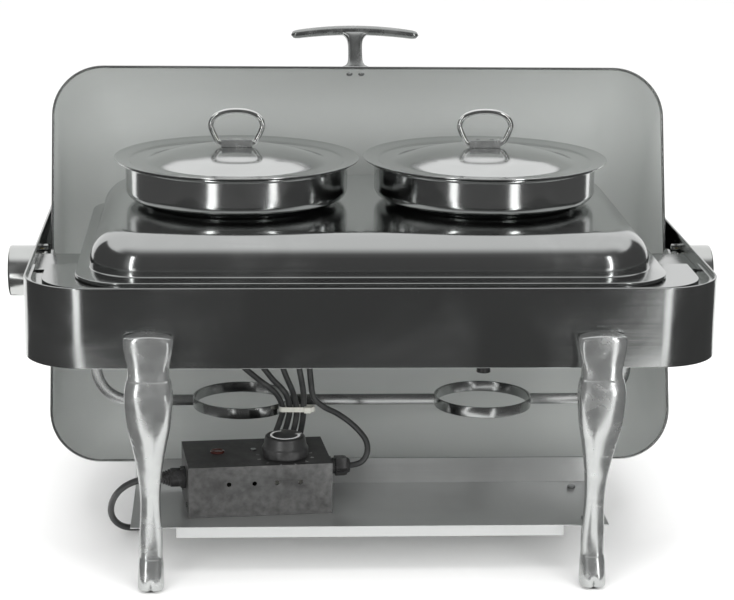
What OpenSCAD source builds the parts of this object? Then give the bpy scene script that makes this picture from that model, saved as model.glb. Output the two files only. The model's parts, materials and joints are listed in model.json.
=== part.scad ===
// Roll top chafer with two round pans and an electric heater box.
// The origin is on the floor under the middle of the frame: X to the right, Y to the back, Z up.
// The roll-top is drawn open, as it stands in use.

/* [Frame] */
// Width of the frame band
frame_w = 660; // [640:1:680]
// Depth of the frame band
frame_d = 484; // [476:1:500]
// Height of the lower edge of the band above the floor
band_low = 217; // [214:1:220]
// Height of the band
band_h = 77; // [75:1:80]
// Corner radius of the band in plan
frame_r = 62; // [55:1:66]

/* [Roll-top] */
// Width of the roll-top shell
lid_w = 640; // [636:1:641]
// Radius of the roll-top dome
lid_r = 205.6; // [203:0.2:206]
// Corner radius of the roll-top
lid_corner = 52; // [45:1:56]
// Angle that the roll-top is opened from closed
open_angle = 109.3; // [100:0.1:110]

/* [Pans] */
// Half of the distance between the pans' centres
pan_x = 125.75; // [125:0.25:129]
// Place of the pans from front to back
pan_y = -15; // [-24:1:-5]
// Outer radius of the pan wall
pan_r = 112; // [105:1:114]
// Height of a pan
pan_h = 42; // [36:1:44]

/* [Control box] */
// Width of the control box
box_w = 141; // [130:1:145]
// Depth of the control box
box_d = 88; // [80:1:90]
// Height of the control box
box_h = 51; // [46:1:54]
// Diameter of the thermostat knob
knob_d = 46; // [38:1:50]

/* [Hidden] */
$fn = 64;

sheet = 1.2;                       // metal of the band, shelf and roll-top
band_top = band_low + band_h;
wall_x = frame_w / 2 - sheet;      // inner face of the side walls
wall_y = frame_d / 2 - sheet;      // inner face of the front and rear walls
hem = 2.6;                         // folded edge of the band and the roll-top

// Roll-top pivot, and where the shell lies from it when the roll-top is closed
pivot_y = -11;
pivot_z = 257;
lid_fore = 12;
lid_rise = 28;
lid_mid_y = pivot_y - lid_fore;    // middle of the closed roll-top
spindle_r = 5;

ledge_z = 290;                     // upper face of the ledge
ledge_back = -124;                 // where its side arms end
groove_low = 281;                  // floor of the seat groove
basin_hw = 263;                    // water pan body
basin_hl = 174.5;
basin_low = 236;
support_z = 276;                   // side supports of the water pan, and top of the rack's arms
deck_flange = 294.2;
deck_top = 331.5;

shelf_z = 48.9;
shelf_front = -206;
shelf_fold = -74;
shelf_back_h = 75;
shelf_hw = 232;
leg_x = 211;

rack_y = -38;
rack_z = 127;
rack_hw = 272;
rack_bend = 35;
ring_x = 124;
ring_r = 50;

box_x = -110.5;
box_y = -130;
box_turn = 5.7;
box_top = shelf_z + box_h;
knob_at = [27, -16];               // knob, lamp and small screw on the box top
lamp_at = [-38, 4];
top_screw_at = [-2, 6];
off_x = -3.3;                      // the pans and the handle sit a little left of the middle

// ---- cord routes: points chosen along each cord, in mm ----
cord_d = 6.5;
lead_d = 6;
mains_route = [[-200, -145, 79], [-213, -146.4, 79], [-225.5, -145.6, 76.6], [-237, -141.5, 70.6],
    [-246, -133.5, 61.2], [-252, -123, 49.8], [-255.2, -112.2, 37.8], [-255.6, -102.4, 26.6],
    [-252.8, -94.6, 16.9], [-246.6, -88.6, 9.4], [-237.4, -82.6, 4.9], [-225, -75.3, 3.3], [-209.5, -63.6, 3.3],
    [-195, -46, 3.3], [-182, -21, 3.3], [-168, 8, 3.3], [-148, 36, 3.3], [-122, 52, 3.3], [-96, 57.7, 3.3]];
lead_1_route = [[-97, -92, 86], [-97, -86, 86], [-95.4, -80.5, 87.2], [-93.8, -76, 90.6], [-92.3, -73.4, 95.6],
    [-91, -73, 100.1], [-86, -74.5, 114], [-83, -76.5, 129], [-91, -80.5, 147], [-112, -86.5, 166],
    [-132, -91, 188], [-139, -92, 218]];
lead_2_route = [[-87, -91, 86], [-87, -86, 86], [-85.7, -80.5, 87.2], [-84.4, -76, 90.6], [-83.1, -73.4, 95.6],
    [-82, -73, 100.1], [-78, -74.5, 114], [-76, -76.5, 129], [-81, -81, 147], [-96, -88, 166],
    [-110, -92.5, 189], [-116, -93, 218]];
lead_3_route = [[-77, -90, 86], [-77, -86, 86], [-75.9, -80.5, 87.2], [-74.9, -76, 90.6], [-73.8, -73.4, 95.6],
    [-73, -73, 100.1], [-69.7, -74.5, 115], [-69, -77, 129], [-73, -83, 148], [-81, -90, 169],
    [-88, -90.5, 192], [-92, -86, 218]];
lead_4_route = [[-67, -89, 86], [-67, -85, 86], [-66.5, -79.5, 87.2], [-65.9, -75, 90.6], [-65.4, -72.4, 95.6],
    [-65, -72, 100.1], [-62.7, -74.5, 115], [-62, -77, 129], [-62.5, -84, 148], [-66, -90.5, 170],
    [-71, -85, 194], [-78, -73, 218]];
lead_5_route = [[-24, -115.4, 80.9], [-14, -114.6, 81], [-4, -112.6, 84], [1.5, -107.8, 93], [-0.5, -101.5, 104],
    [-12, -94, 116], [-27, -88, 126], [-42, -84.5, 133], [-52, -84, 143], [-55, -87, 160], [-58, -82, 188],
    [-64, -68, 218]];

// coil of the spare cord: a ring whose mean radius and wraps hold the spare length
coil_at = [-96, 104];
coil_r = 36.3;
wrap_pitch = 6.7;                  // from one wrap to the next beside it
coil_half = 2 * wrap_pitch;        // four wraps side by side
coil_top = 2 * cord_d + 0.1;       // two wraps one over another

// ---------------- helpers ----------------
function clampi(i, n) = max(0, min(n - 1, i));

// a smooth curve through the points p, with n steps from each to the next
function catmull(a, b, c, d, t) = 0.5 * (2 * b + (c - a) * t + (2 * a - 5 * b + 4 * c - d) * t * t
    + (3 * b - a - 3 * c + d) * t * t * t);
function smooth_path(p, n) = [for (i = [0 : len(p) - 2]) for (k = [0 : n - (i == len(p) - 2 ? 0 : 1)])
    catmull(p[clampi(i - 1, len(p))], p[i], p[i + 1], p[clampi(i + 2, len(p))], k / n)];

function unit(v) = v / norm(v);
function tangent(p, i) = unit(p[clampi(i + 1, len(p))] - p[clampi(i - 1, len(p))]);

// frames carried along the path without twist
function side_of(t, s) = unit(s - (s * t) * t);
function sides(p, i, s) = i == len(p) ? [] : let (q = side_of(tangent(p, i), s)) concat([q], sides(p, i + 1, q));
function ring_points(c, t, s, r, n) = [for (k = [0 : n - 1]) c + r * (cos(360 * k / n) * s
    + sin(360 * k / n) * cross(t, s))];

module tube(p, r, n = 8, up = [0.02, 0.31, 0.95]) {
    s = sides(p, 0, side_of(tangent(p, 0), up));
    pts = [for (i = [0 : len(p) - 1]) each ring_points(p[i], tangent(p, i), s[i], r, n)];
    m = len(p);
    walls = [for (i = [0 : m - 2]) for (k = [0 : n - 1])
        [i * n + k, (i + 1) * n + k, (i + 1) * n + (k + 1) % n, i * n + (k + 1) % n]];
    ends = [[for (k = [0 : n - 1]) k], [for (k = [n - 1 : -1 : 0]) (m - 1) * n + k]];
    polyhedron(pts, concat(walls, ends), convexity = 8);
}

// a closed tube around a loop of points
module loop_tube(p, r, n, up) {
    m = len(p);
    t = [for (i = [0 : m - 1]) unit(p[(i + 1) % m] - p[(i + m - 1) % m])];
    pts = [for (i = [0 : m - 1]) each ring_points(p[i], t[i], unit(up - (up * t[i]) * t[i]), r, n)];
    polyhedron(pts, [for (i = [0 : m - 1]) for (k = [0 : n - 1])
        [i * n + k, ((i + 1) % m) * n + k, ((i + 1) % m) * n + (k + 1) % n, i * n + (k + 1) % n]], convexity = 8);
}

// rounded rectangle as true arcs, half sizes hw and hl
module rr(hw, hl, r) {
    square([2 * hw, 2 * (hl - r)], center = true);
    square([2 * (hw - r), 2 * hl], center = true);
    for (x = [-1, 1]) for (y = [-1, 1]) translate([x * (hw - r), y * (hl - r)]) circle(r);
}
module rr_ring(hw, hl, r, t) {
    difference() {
        rr(hw, hl, r);
        rr(hw - t, hl - t, r - t);
    }
}

// outline points of a rounded rectangle, for skins made of rings
function rr_points(hw, hl, r, z, cy, n = 6) = [for (q = [0 : 3]) for (k = [0 : n])
    let (a = 90 * q + 90 * k / n, sx = (q == 0 || q == 3) ? 1 : -1, sy = q < 2 ? 1 : -1)
    [sx * (hw - r) + r * cos(a), cy + sy * (hl - r) + r * sin(a), z]];

// closed sheet: outer rings going up to a capped top, inner rings coming back down
module sheet_skin(outer, inner) {
    n = len(outer[0]);
    a = len(outer);
    b = len(inner);
    pts = concat([for (l = outer) each l], [for (l = inner) each l]);
    up = [for (i = [0 : a - 2]) for (k = [0 : n - 1])
        [i * n + k, (i + 1) * n + k, (i + 1) * n + (k + 1) % n, i * n + (k + 1) % n]];
    down = [for (i = [0 : b - 2]) for (k = [0 : n - 1])
        [(a + i) * n + k, (a + i) * n + (k + 1) % n, (a + i + 1) * n + (k + 1) % n, (a + i + 1) * n + k]];
    caps = [[for (k = [n - 1 : -1 : 0]) (a - 1) * n + k], [for (k = [0 : n - 1]) (a + b - 1) * n + k]];
    lip = [for (k = [0 : n - 1]) [k, (k + 1) % n, a * n + (k + 1) % n, a * n + k]];
    polyhedron(pts, concat(up, down, caps, lip), convexity = 8);
}

module along_x(x, y, z) { translate([x, y, z]) rotate([0, 90, 0]) children(); }
module at_pivot() { translate([0, pivot_y, pivot_z]) rotate([-open_angle, 0, 0]) children(); }
module on_box() { translate([box_x, box_y, shelf_z]) rotate([0, 0, box_turn]) children(); }

// ---------------- frame ----------------
module frame_band() color("#3c403e") difference() {
    union() {
        translate([0, 0, band_low]) linear_extrude(band_h) rr_ring(frame_w / 2, frame_d / 2, frame_r, sheet);
        translate([0, 0, band_top - 4]) linear_extrude(4) rr_ring(frame_w / 2, frame_d / 2, frame_r, hem);
        translate([0, 0, band_low]) linear_extrude(sheet) rr_ring(frame_w / 2, frame_d / 2, frame_r, 7);
    }
    for (x = [-1, 1]) along_x(x * frame_w / 2, pivot_y, pivot_z) cylinder(h = 20, r = 9, center = true);
}

module ledge_outline(grow) translate([0, lid_mid_y]) rr(lid_w / 2 + grow, lid_r + grow, lid_corner + grow);

module ledge() color("#c9cecb") intersection() {
    translate([-frame_w, -frame_d, 0]) cube([2 * frame_w, frame_d + ledge_back, 400]);
    union() {
        translate([0, 0, ledge_z - sheet]) linear_extrude(sheet) difference() {
            rr(wall_x - 0.1, wall_y - 0.1, frame_r - sheet - 0.1);
            ledge_outline(3.5);
        }
        translate([0, 0, groove_low]) linear_extrude(ledge_z - groove_low) difference() {
            ledge_outline(3.5 + sheet);
            ledge_outline(3.5);
        }
        translate([0, 0, groove_low - sheet]) linear_extrude(sheet) difference() {
            ledge_outline(3.5 + sheet);
            ledge_outline(-6.5 - sheet);
        }
        translate([0, 0, groove_low]) linear_extrude(ledge_z - groove_low) difference() {
            ledge_outline(-6.5);
            ledge_outline(-6.5 - sheet);
        }
        translate([0, 0, ledge_z - sheet]) linear_extrude(sheet) difference() {
            ledge_outline(-6.5);
            translate([0, lid_mid_y - 1.5]) rr(basin_hw + 2, basin_hl + 2, 50);
        }
    }
}

module pan_supports() color("#9aa09d") for (s = [0, 1]) mirror([s, 0, 0]) translate([0, -100, 0]) {
    translate([266, 0, support_z]) cube([wall_x - 266, 70, 3]);
    translate([266, 0, support_z + 2]) cube([3, 70, ledge_z - support_z - 2]);
    translate([wall_x - 3, 0, 262]) cube([3, 70, 15]);
}

module water_pan() color("#b9bebb") translate([0, lid_mid_y - 1.5, 0]) {
    translate([0, 0, ledge_z]) linear_extrude(sheet) difference() {
        rr(280, 196, 48);
        rr(basin_hw - 1, basin_hl - 1, 44);
    }
    translate([0, 0, basin_low]) linear_extrude(ledge_z - basin_low) rr_ring(basin_hw, basin_hl, 45, 1);
    translate([0, 0, basin_low]) linear_extrude(1) rr(basin_hw - 0.5, basin_hl - 0.5, 44.5);
}

drain_at = [118, -95];             // the drain passes through a notch in the right heater cover
module drain_stub() color("#3a3a3a") translate([drain_at[0], drain_at[1], 0]) {
    translate([0, 0, 172]) cylinder(h = basin_low - 172, r = 5);
    translate([0, 0, 172]) cylinder(h = 16, r = 7);
    translate([0, 0, 226]) cylinder(h = 6, r = 11, $fn = 6);
}

// two round heater plates held under the water pan, each in its own cover
heater_x = 128;
heater_y = -10;
module heater_plates() color("#6f7371") for (x = [-1, 1]) translate([x * heater_x, heater_y, basin_low - 8])
    cylinder(h = 8, r = 72);
module heater_covers() color("#8d918f") difference() {
    for (x = [-1, 1]) translate([x * heater_x, heater_y, basin_low - 18]) difference() {
        cylinder(h = 18, r = 90);
        translate([0, 0, 1.2]) cylinder(h = 20, r = 88.8);
    }
    translate([drain_at[0], drain_at[1], 200]) cylinder(h = 60, r = 13);
}

// ---------------- burner rack ----------------
module rack_arm() {
    translate([rack_hw - rack_bend, rack_y - 1.25, rack_z + rack_bend]) rotate([90, 0, 0]) mirror([0, 0, 1])
        rotate_extrude_bar();
    translate([rack_hw - 5.5, rack_y - 1.25, rack_z + rack_bend]) cube([11, 2.5, support_z - rack_z - rack_bend]);
}
module rotate_extrude_bar() linear_extrude(2.5) intersection() {
    difference() {
        circle(rack_bend + 5.5);
        circle(rack_bend - 5.5);
    }
    translate([0, -60]) square([60, 60]);
}
module burner_rack() color("#a9aeab") difference() {
    union() {
        for (s = [0, 1]) mirror([s, 0, 0]) rack_arm();
        translate([-(rack_hw - rack_bend), rack_y - 1.25, rack_z - 5.5]) cube([2 * (rack_hw - rack_bend), 2.5, 11]);
    }
    for (x = [-1, 1]) translate([x * ring_x, rack_y, 100]) cylinder(h = 50, r = ring_r + 0.05);
}
module burner_ring(x) color("#b4b9b6") translate([x, rack_y, rack_z - 6]) difference() {
    cylinder(h = 11, r = ring_r);
    translate([0, 0, -1]) cylinder(h = 13, r = ring_r - 2);
}

// ---------------- shelf and legs ----------------
module shelf() color("#7f8583") {
    translate([-shelf_hw, shelf_front, shelf_z - sheet]) cube([2 * shelf_hw, shelf_fold - shelf_front, sheet]);
    translate([-shelf_hw, shelf_fold - sheet, shelf_z - sheet]) cube([2 * shelf_hw, sheet, shelf_back_h - shelf_z + sheet]);
    translate([-188, shelf_front, shelf_z - 11]) cube([376, sheet, 11]);
    for (s = [0, 1]) mirror([s, 0, 0]) translate([shelf_hw - sheet, shelf_front + 30, shelf_z - 11])
        cube([sheet, shelf_fold - shelf_front - 30, 11]);
}
module stretcher(x) color("#8a8f8d") translate([x - 1.5, -230, shelf_z - sheet - 12]) cube([3, 460, 12]);

// leg stations from the foot up: height, half width, half depth, distance of its middle outside the wall
leg_stations = [[2, 11.5, 12, 1], [6, 12.3, 15, 1], [14, 12.2, 14.5, 0.5], [30, 11.2, 11.5, -4], [50, 11.1, 9.5, -6],
    [70, 9.9, 8.6, -5], [88, 9.45, 8.6, -3], [105, 10.4, 9.4, 0], [122, 12.2, 10.8, 4], [145, 16, 13.2, 9],
    [165, 19.9, 15, 13], [185, 22, 15.6, 15.5], [200, 22.5, 15, 15.5], [212, 19.8, 12.5, 13], [222, 19.4, 11, 11.2],
    [236, 22.4, 10.6, 10.6], [247, 23, 10.4, 10.4], [250, 21, 9.8, 9.8]];

// one rounded cross-section of the leg; behind the band its back is flat against the wall
function soften(v) = sign(v) * pow(abs(v), 0.8);
function leg_ring(s) = [for (k = [0 : 15]) let (y = s[3] + s[2] * soften(sin(22.5 * k)))
    [s[1] * soften(cos(22.5 * k)), s[0] > band_low - 2 ? max(y, 0) : y, s[0]]];
module leg_solid() {
    m = len(leg_stations);
    pts = [for (s = leg_stations) each leg_ring(s)];
    polyhedron(pts, concat([for (i = [0 : m - 2]) for (k = [0 : 15])
        [i * 16 + k, (i + 1) * 16 + k, (i + 1) * 16 + (k + 1) % 16, i * 16 + (k + 1) % 16]],
        [[for (k = [0 : 15]) k], [for (k = [15 : -1 : 0]) (m - 1) * 16 + k]]), convexity = 6);
}
module leg(x, s) color("#d5d9d6") translate([x, s * (frame_d / 2), 0]) rotate([0, 0, s < 0 ? 180 : 0]) leg_solid();

module leg_places() for (x = [-1, 1]) for (y = [-1, 1]) translate([x * leg_x, y * frame_d / 2, 0])
    rotate([0, 0, y < 0 ? 180 : 0]) children();
module foot_pads() color("#2a2a2a") leg_places() translate([0, 1, 0]) cylinder(h = 2, r = 9);
module frame_bolts() color("#9fa4a1") {
    leg_places() for (z = [230, 242]) translate([0, 6, z]) rotate([90, 0, 0]) {
        cylinder(h = 8 + sheet, r = 3);
        translate([0, 0, 6 + sheet]) cylinder(h = 3.5, r = 5.5, $fn = 6);
    }
    for (x = [-1, 1]) for (y = [-190, -95]) translate([x * leg_x, y, shelf_z]) cylinder(h = 2.5, r = 4);
}

// ---------------- hinge parts fixed to the frame ----------------
module hinge_bushes() color("#c8b46a") for (s = [0, 1]) mirror([s, 0, 0]) along_x(wall_x - 1.5, pivot_y, pivot_z)
    difference() {
        union() {
            cylinder(h = 1.5, r = 13);
            translate([0, 0, 1.4]) cylinder(h = sheet + 1.6, r = 9);
        }
        translate([0, 0, -1]) cylinder(h = 8, r = spindle_r + 0.05);
    }

cam_angle = 40;
cam_half = 9;
pin_reach = 26;
pin_half = 7.2;
module stop_pins() color("#b9bebb") for (s = [0, 1]) mirror([s, 0, 0])
    for (a = [cam_angle + cam_half + pin_half, cam_angle - open_angle - cam_half - pin_half])
        along_x(322, pivot_y + pin_reach * cos(a), pivot_z + pin_reach * sin(a)) cylinder(h = wall_x - 322, r = 3);

// ---------------- control box ----------------
module control_box_cover() color("#2b2c2c") on_box() difference() {
    translate([-box_w / 2, -box_d / 2, 0.2]) cube([box_w, box_d, box_h - 0.2]);
    translate([-box_w / 2 + sheet, -box_d / 2 + sheet, -1]) cube([box_w - 2 * sheet, box_d - 2 * sheet, box_h - sheet + 1]);
    for (x = [-31, -6, 16, 39]) translate([x, -box_d / 2 - 1, 33]) rotate([-90, 0, 0]) cylinder(h = 4, r = 2.25);
    translate([knob_at[0], knob_at[1], box_h - 3]) cylinder(h = 5, r = 6);
    translate([lamp_at[0], lamp_at[1], box_h - 3]) cylinder(h = 5, r = 6);
    translate([-box_w / 2 - 1, -6, 30]) rotate([0, 90, 0]) cylinder(h = 4, r = 7);
    translate([box_w / 2 - 3, 6, 32]) rotate([0, 90, 0]) cylinder(h = 4, r = 7);
    for (i = [0 : 3]) translate([18 + 10 * i, box_d / 2 - 3, 37.1]) rotate([-90, 0, 0]) cylinder(h = 4, r = 3.2);
}
module control_box_base() color("#4a4c4b") on_box()
    translate([-box_w / 2 + 1.5, -box_d / 2 + 1.5, 0]) cube([box_w - 3, box_d - 3, sheet]);
module thermostat() color("#d8d4c6") on_box() translate([knob_at[0], knob_at[1], 0]) {
    difference() {
        union() {
            translate([-16, -16, 18]) cube([32, 32, box_h - sheet - 18]);
            translate([0, 0, box_h - sheet - 1]) cylinder(h = sheet + 1.4, r = 5.9);
        }
        translate([0, 0, 24]) cylinder(h = 60, r = 3.05);
    }
    for (x = [-1, 1]) translate([x * 9, 0, 10]) translate([-2, -3, 0]) cube([4, 6, 9]);
}
module terminal_block() color("#e4dfce") on_box() translate([-48, -12, sheet]) difference() {
    cube([38, 24, 15]);
    for (i = [0 : 3]) translate([5.5 + 9 * i, 12, 4]) cylinder(h = 20, r = 2.2);
}
module pilot_lamp() color("#8d2f22") on_box() translate([lamp_at[0], lamp_at[1], 0]) {
    translate([0, 0, box_h - 20]) cylinder(h = 21, r = 5.8);
    translate([0, 0, box_h]) cylinder(h = 2.2, r = 7.2);
}
module box_screws() color("#b5bab7") on_box() {
    translate([top_screw_at[0], top_screw_at[1], box_h]) cylinder(h = 1.6, r = 3);
    for (y = [-26, 26]) for (s = [-1, 1]) translate([s * (box_w / 2 + 0.8), y, 8]) rotate([0, 90, 0])
        cylinder(h = 1.6, r = 2.6, center = true);
}
module mains_gland() color("#1d1d1d") on_box() translate([-box_w / 2, -6, 30]) rotate([0, -90, 0]) difference() {
    union() {
        translate([0, 0, -4]) cylinder(h = 6, r = 6.9);
        cylinder(h = 5, r = 11, $fn = 6);
        translate([0, 0, 5]) cylinder(h = 14, r = 9.5);
        translate([0, 0, 19]) cylinder(h = 6, r1 = 9.5, r2 = 6, $fn = 48);
    }
    translate([0, 0, -6]) cylinder(h = 40, r = cord_d / 2);
}
module lead_gland() color("#1d1d1d") on_box() translate([box_w / 2, 6, 32]) rotate([0, 90, 0]) difference() {
    union() {
        translate([0, 0, -4]) cylinder(h = 6, r = 6.9);
        cylinder(h = 6, r = 10, $fn = 6);
        translate([0, 0, 6]) cylinder(h = 3, r = 8);
        translate([0, 0, 9]) cylinder(h = 12, r = 10.4, $fn = 6);
        translate([0, 0, 21]) cylinder(h = 3.5, r = 7);
    }
    translate([0, 0, -6]) cylinder(h = 40, r = lead_d / 2);
}
module lead(route) color("#262727") tube(smooth_path(route, 1), lead_d / 2);
module cable_tie() color("#c4c6bd") translate([-68.5, -77, 126.5]) difference() {
    scale_oval(18.5, 5.6, 5);
    translate([0, 0, -1]) scale_oval(17, 4.2, 7);
}
module scale_oval(half_w, half_d, h) linear_extrude(h) union() {
    square([2 * (half_w - half_d), 2 * half_d], center = true);
    for (x = [-1, 1]) translate([x * (half_w - half_d), 0]) circle(half_d);
}

// knob with its printed arc left to the finish, and its shaft
module knob() color("#1b1b1b") on_box() translate([knob_at[0], knob_at[1], box_h + 1]) {
    rotate_extrude() polygon([[0, 2], [0, 21], [knob_d / 2 - 5, 21], [knob_d / 2 - 3.4, 20], [knob_d / 2 - 1.6, 11],
        [knob_d / 2, 9], [knob_d / 2, 1.5], [knob_d / 2 - 1, 0], [knob_d / 2 - 3, 0], [knob_d / 2 - 4, 2]]);
    translate([0, 0, -22]) cylinder(h = 25, r = 3);
}

// ---------------- mains cord ----------------
module mains_cord_run() color("#1e1f1f") tube(smooth_path(mains_route, 1), cord_d / 2, 10);
module mains_coil() color("#1e1f1f") translate([coil_at[0], coil_at[1], 0]) rotate_extrude()
    translate([coil_r - coil_half, 0]) square([2 * coil_half, coil_top]);
coil_turn = 46.3;                  // radius of the outermost wrap's own line
plug_from = 30;                    // where the plug's sleeve starts, beside the coil
tail_z = 9.8;                      // height of the cord as it leaves the upper wraps
module mains_plug() color("#1a1a1a") translate([coil_at[0], coil_at[1] - coil_turn, 0]) {
    difference() {
        along_x(8, 0, tail_z) cylinder(h = plug_from - 7, r = cord_d / 2);
        translate([0, coil_turn, -1]) cylinder(h = 30, r = coil_r + coil_half);
    }
    along_x(plug_from, 0, tail_z) cylinder(h = 19, r = 5.4);
    translate([plug_from + 18, -16, 0]) cube([34, 32, 26]);
    for (y = [-9.5, 9.5]) along_x(plug_from + 51, y, 13) cylinder(h = 19, r = 2.4);
}
module coil_tie() color("#101010") translate([coil_at[0] + coil_r, coil_at[1], 0]) difference() {
    translate([-coil_half - 2.5, -4, 0]) cube([2 * coil_half + 5, 8, coil_top + 1.5]);
    translate([-coil_half - 1, -5, -1]) cube([2 * coil_half + 2, 10, coil_top + 1.1]);
}

// ---------------- roll-top ----------------
module lid_profile(grow) intersection() {
    translate([0, -400]) square([300, 800]);
    rr(lid_r + grow, lid_w / 2 + grow, lid_corner + grow);
}
module lid_shell() color("#b8bdba") at_pivot() translate([0, -lid_fore, lid_rise]) {
    rotate([0, 90, 0]) rotate([0, 0, 90]) rotate_extrude(angle = 180) difference() {
        lid_profile(0);
        lid_profile(-sheet);
    }
    linear_extrude(4) difference() {
        rr(lid_w / 2 + 0.8, lid_r + 0.8, lid_corner + 0.8);
        rr(lid_w / 2 - hem + 0.6, lid_r - hem + 0.6, lid_corner - hem + 0.6);
    }
}

// T-handle: a short stem with a foot plate, and an arched crossbar, a little above the rim
handle_stem = 45.5;
handle_tilt = 6.7;
bar_radius = 420;
bar_half = 68;
bar_sweep = 2 * asin(bar_half / bar_radius);
module at_handle() at_pivot() translate([0, -lid_fore, lid_rise]) rotate([-handle_tilt, 0, 0])
    translate([off_x, -lid_r, 0]) children();
module lid_handle() color("#a4aaa7") at_handle() {
    translate([-21, -4.4, -7]) cube([42, 4.4, 14]);
    rotate([90, 0, 0]) cylinder(h = handle_stem, r = 7.6);
    translate([0, bar_radius - handle_stem - 1.5, 0]) rotate([0, 0, -90 - bar_sweep / 2])
        rotate_extrude(angle = bar_sweep, $fn = 720) translate([bar_radius, 0]) circle(5.2, $fn = 24);
}
module lid_handle_screws() color("#c2c6c3") at_handle() for (x = [-6.3, 6.3])
    translate([x, sheet + 0.1, 0]) rotate([-90, 0, 0]) {
        cylinder(h = 2, r = 3.5);
        translate([0, 0, -5.5]) cylinder(h = 6, r = 1.9);
    }

arm_w = 16;
module hinge_arm(s) color("#cfd3d0") at_pivot() translate([s < 0 ? -317.8 : 314.8, 0, 0]) rotate([90, 0, 90])
    linear_extrude(3) difference() {
        union() {
            circle(22);
            translate([-arm_w, 0]) square([2 * arm_w, 58]);
        }
        circle(spindle_r);
    }
module arm_rivets() color("#dfe2e0") at_pivot() for (s = [0, 1]) mirror([s, 0, 0]) for (y = [-8, 8])
    translate([311.8, y, 47]) rotate([0, 90, 0]) {
        cylinder(h = 3, r = 4);
        cylinder(h = 7, r = 2);
    }
module hinge_spindles() color("#c9cdca") at_pivot() for (s = [0, 1]) mirror([s, 0, 0]) {
    along_x(310, 0, 0) cylinder(h = 40, r = spindle_r);
    along_x(310, 0, 0) cylinder(h = 4.8, r = 9, $fn = 6);
    along_x(317.8, 0, 0) cylinder(h = 4.2, r = 9);
    along_x(322, 0, 0) cylinder(h = 3, r = 20);
    along_x(322, 0, 0) linear_extrude(3) intersection() {
        circle(29);
        rotate([0, 0, 90]) polygon([[0, 0], 40 * [cos(cam_angle - cam_half), sin(cam_angle - cam_half)],
            40 * [cos(cam_angle + cam_half), sin(cam_angle + cam_half)]]);
    }
}
module friction_washers() color("#e8e8e2") at_pivot() for (s = [0, 1]) mirror([s, 0, 0]) along_x(325, 0, 0)
    difference() {
        cylinder(h = 2, r = 18);
        translate([0, 0, -1]) cylinder(h = 5, r = spindle_r);
    }
module hub_cap(s) color("#c3c8c5") mirror([s < 0 ? 1 : 0, 0, 0]) along_x(332, pivot_y, pivot_z) difference() {
    rotate_extrude() polygon([[0, 0], [22, 0], [26, 2], [26, 27], [25, 28.2], [0, 28.2]]);
    translate([0, 0, -1]) cylinder(h = 19, r = spindle_r);
}

// ---------------- adaptor plate ----------------
deck_y = lid_mid_y - 1.5;
deck_edge = 32;
function deck_rings(t) = concat(
    [rr_points(282.5 - t, 198 - t, 50 - t, 291.4, deck_y), rr_points(282.5 - t, 198 - t, 50 - t, deck_flange - t, deck_y),
     rr_points(270 - t, 174.5 - t, 52 - t, deck_flange - t, deck_y)],
    [for (k = [0 : 6]) let (a = 15 * k)
        rr_points(270 - t - deck_edge * (1 - cos(a)), 174.5 - t - deck_edge * (1 - cos(a)),
            52 - t - deck_edge * (1 - cos(a)), deck_top - t - deck_edge * (1 - sin(a)), deck_y)]);
module adaptor_plate() color("#989d9b") sheet_skin(deck_rings(0), deck_rings(1));

// ---------------- pans and their lids ----------------
pan_base = deck_top;
pan_top = pan_base + pan_h;
module at_pan(s, z) translate([off_x + s * pan_x, pan_y, z]) children();
module pan(s) color("#8f9492") at_pan(s, pan_base) rotate_extrude() polygon([
    [0, 0], [94, 0], [98, 3.2], [104, 4.5], [109, 7], [pan_r, 12], [pan_r, pan_h - 3], [pan_r + 6, pan_h - 1.4],
    [pan_r + 6, pan_h], [pan_r - 0.4, pan_h], [pan_r - 1.2, pan_h - 2], [pan_r - 1.2, 12.3], [108.4, 8],
    [103.6, 5.7], [97.4, 4.4], [93.6, 1.2], [0, 1.2]]);
module pan_lid(s) color("#c2c7c4") at_pan(s, pan_top) rotate_extrude() polygon([
    [0, 13], [20, 12.7], [45, 10.8], [68, 6.8], [82, 2.4], [88, 0.4], [92, -0.6], [107, -0.6], [108.8, 0.6],
    [112, 1.1], [120, 2.1], [123.6, 3.2], [123.6, 2.1], [120, 1.1], [112, 0.1], [108.8, 0.1], [107.2, -1.6],
    [91.6, -1.6], [87.6, -0.7], [81.6, 1.3], [67.7, 5.7], [44.8, 9.7], [19.9, 11.6], [0, 11.9]]);

// loop handle: a rod that goes round a head, narrows to a waist and closes through its clamp
loop_route = [[0, 33.5], [12, 32.2], [22, 27.5], [26, 19.8], [24.3, 12.8], [21.4, 6.6], [18.9, 2.5],
    [15.2, 0.6], [0, 0.4]];
function mirrored(p) = concat(p, [for (i = [len(p) - 2 : -1 : 1]) [-p[i][0], p[i][1]]]);
loop_points = let (m = mirrored(loop_route), n = len(m)) [for (i = [0 : n - 1]) for (k = [0 : 1])
    let (q = catmull(m[(i + n - 1) % n], m[i], m[(i + 1) % n], m[(i + 2) % n], k / 2)) [q[0], 0, q[1]]];
module loop_handle(s) color("#e2e6e3") at_pan(s, pan_top + 15.9) loop_tube(loop_points, 2.9, 8, [0, 1, 0]);
module handle_clamp(s) color("#d0d4d1") at_pan(s, pan_top + 13.1) difference() {
    translate([-15.5, -6, 0]) cube([31, 12, 7.4]);
    translate([-30, 0, 3.4]) rotate([0, 90, 0]) cylinder(h = 60, r = 3.1);
    for (x = [-7, 7]) translate([x, 0, 5.5]) cylinder(h = 4, r = 2.6);
}

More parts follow.
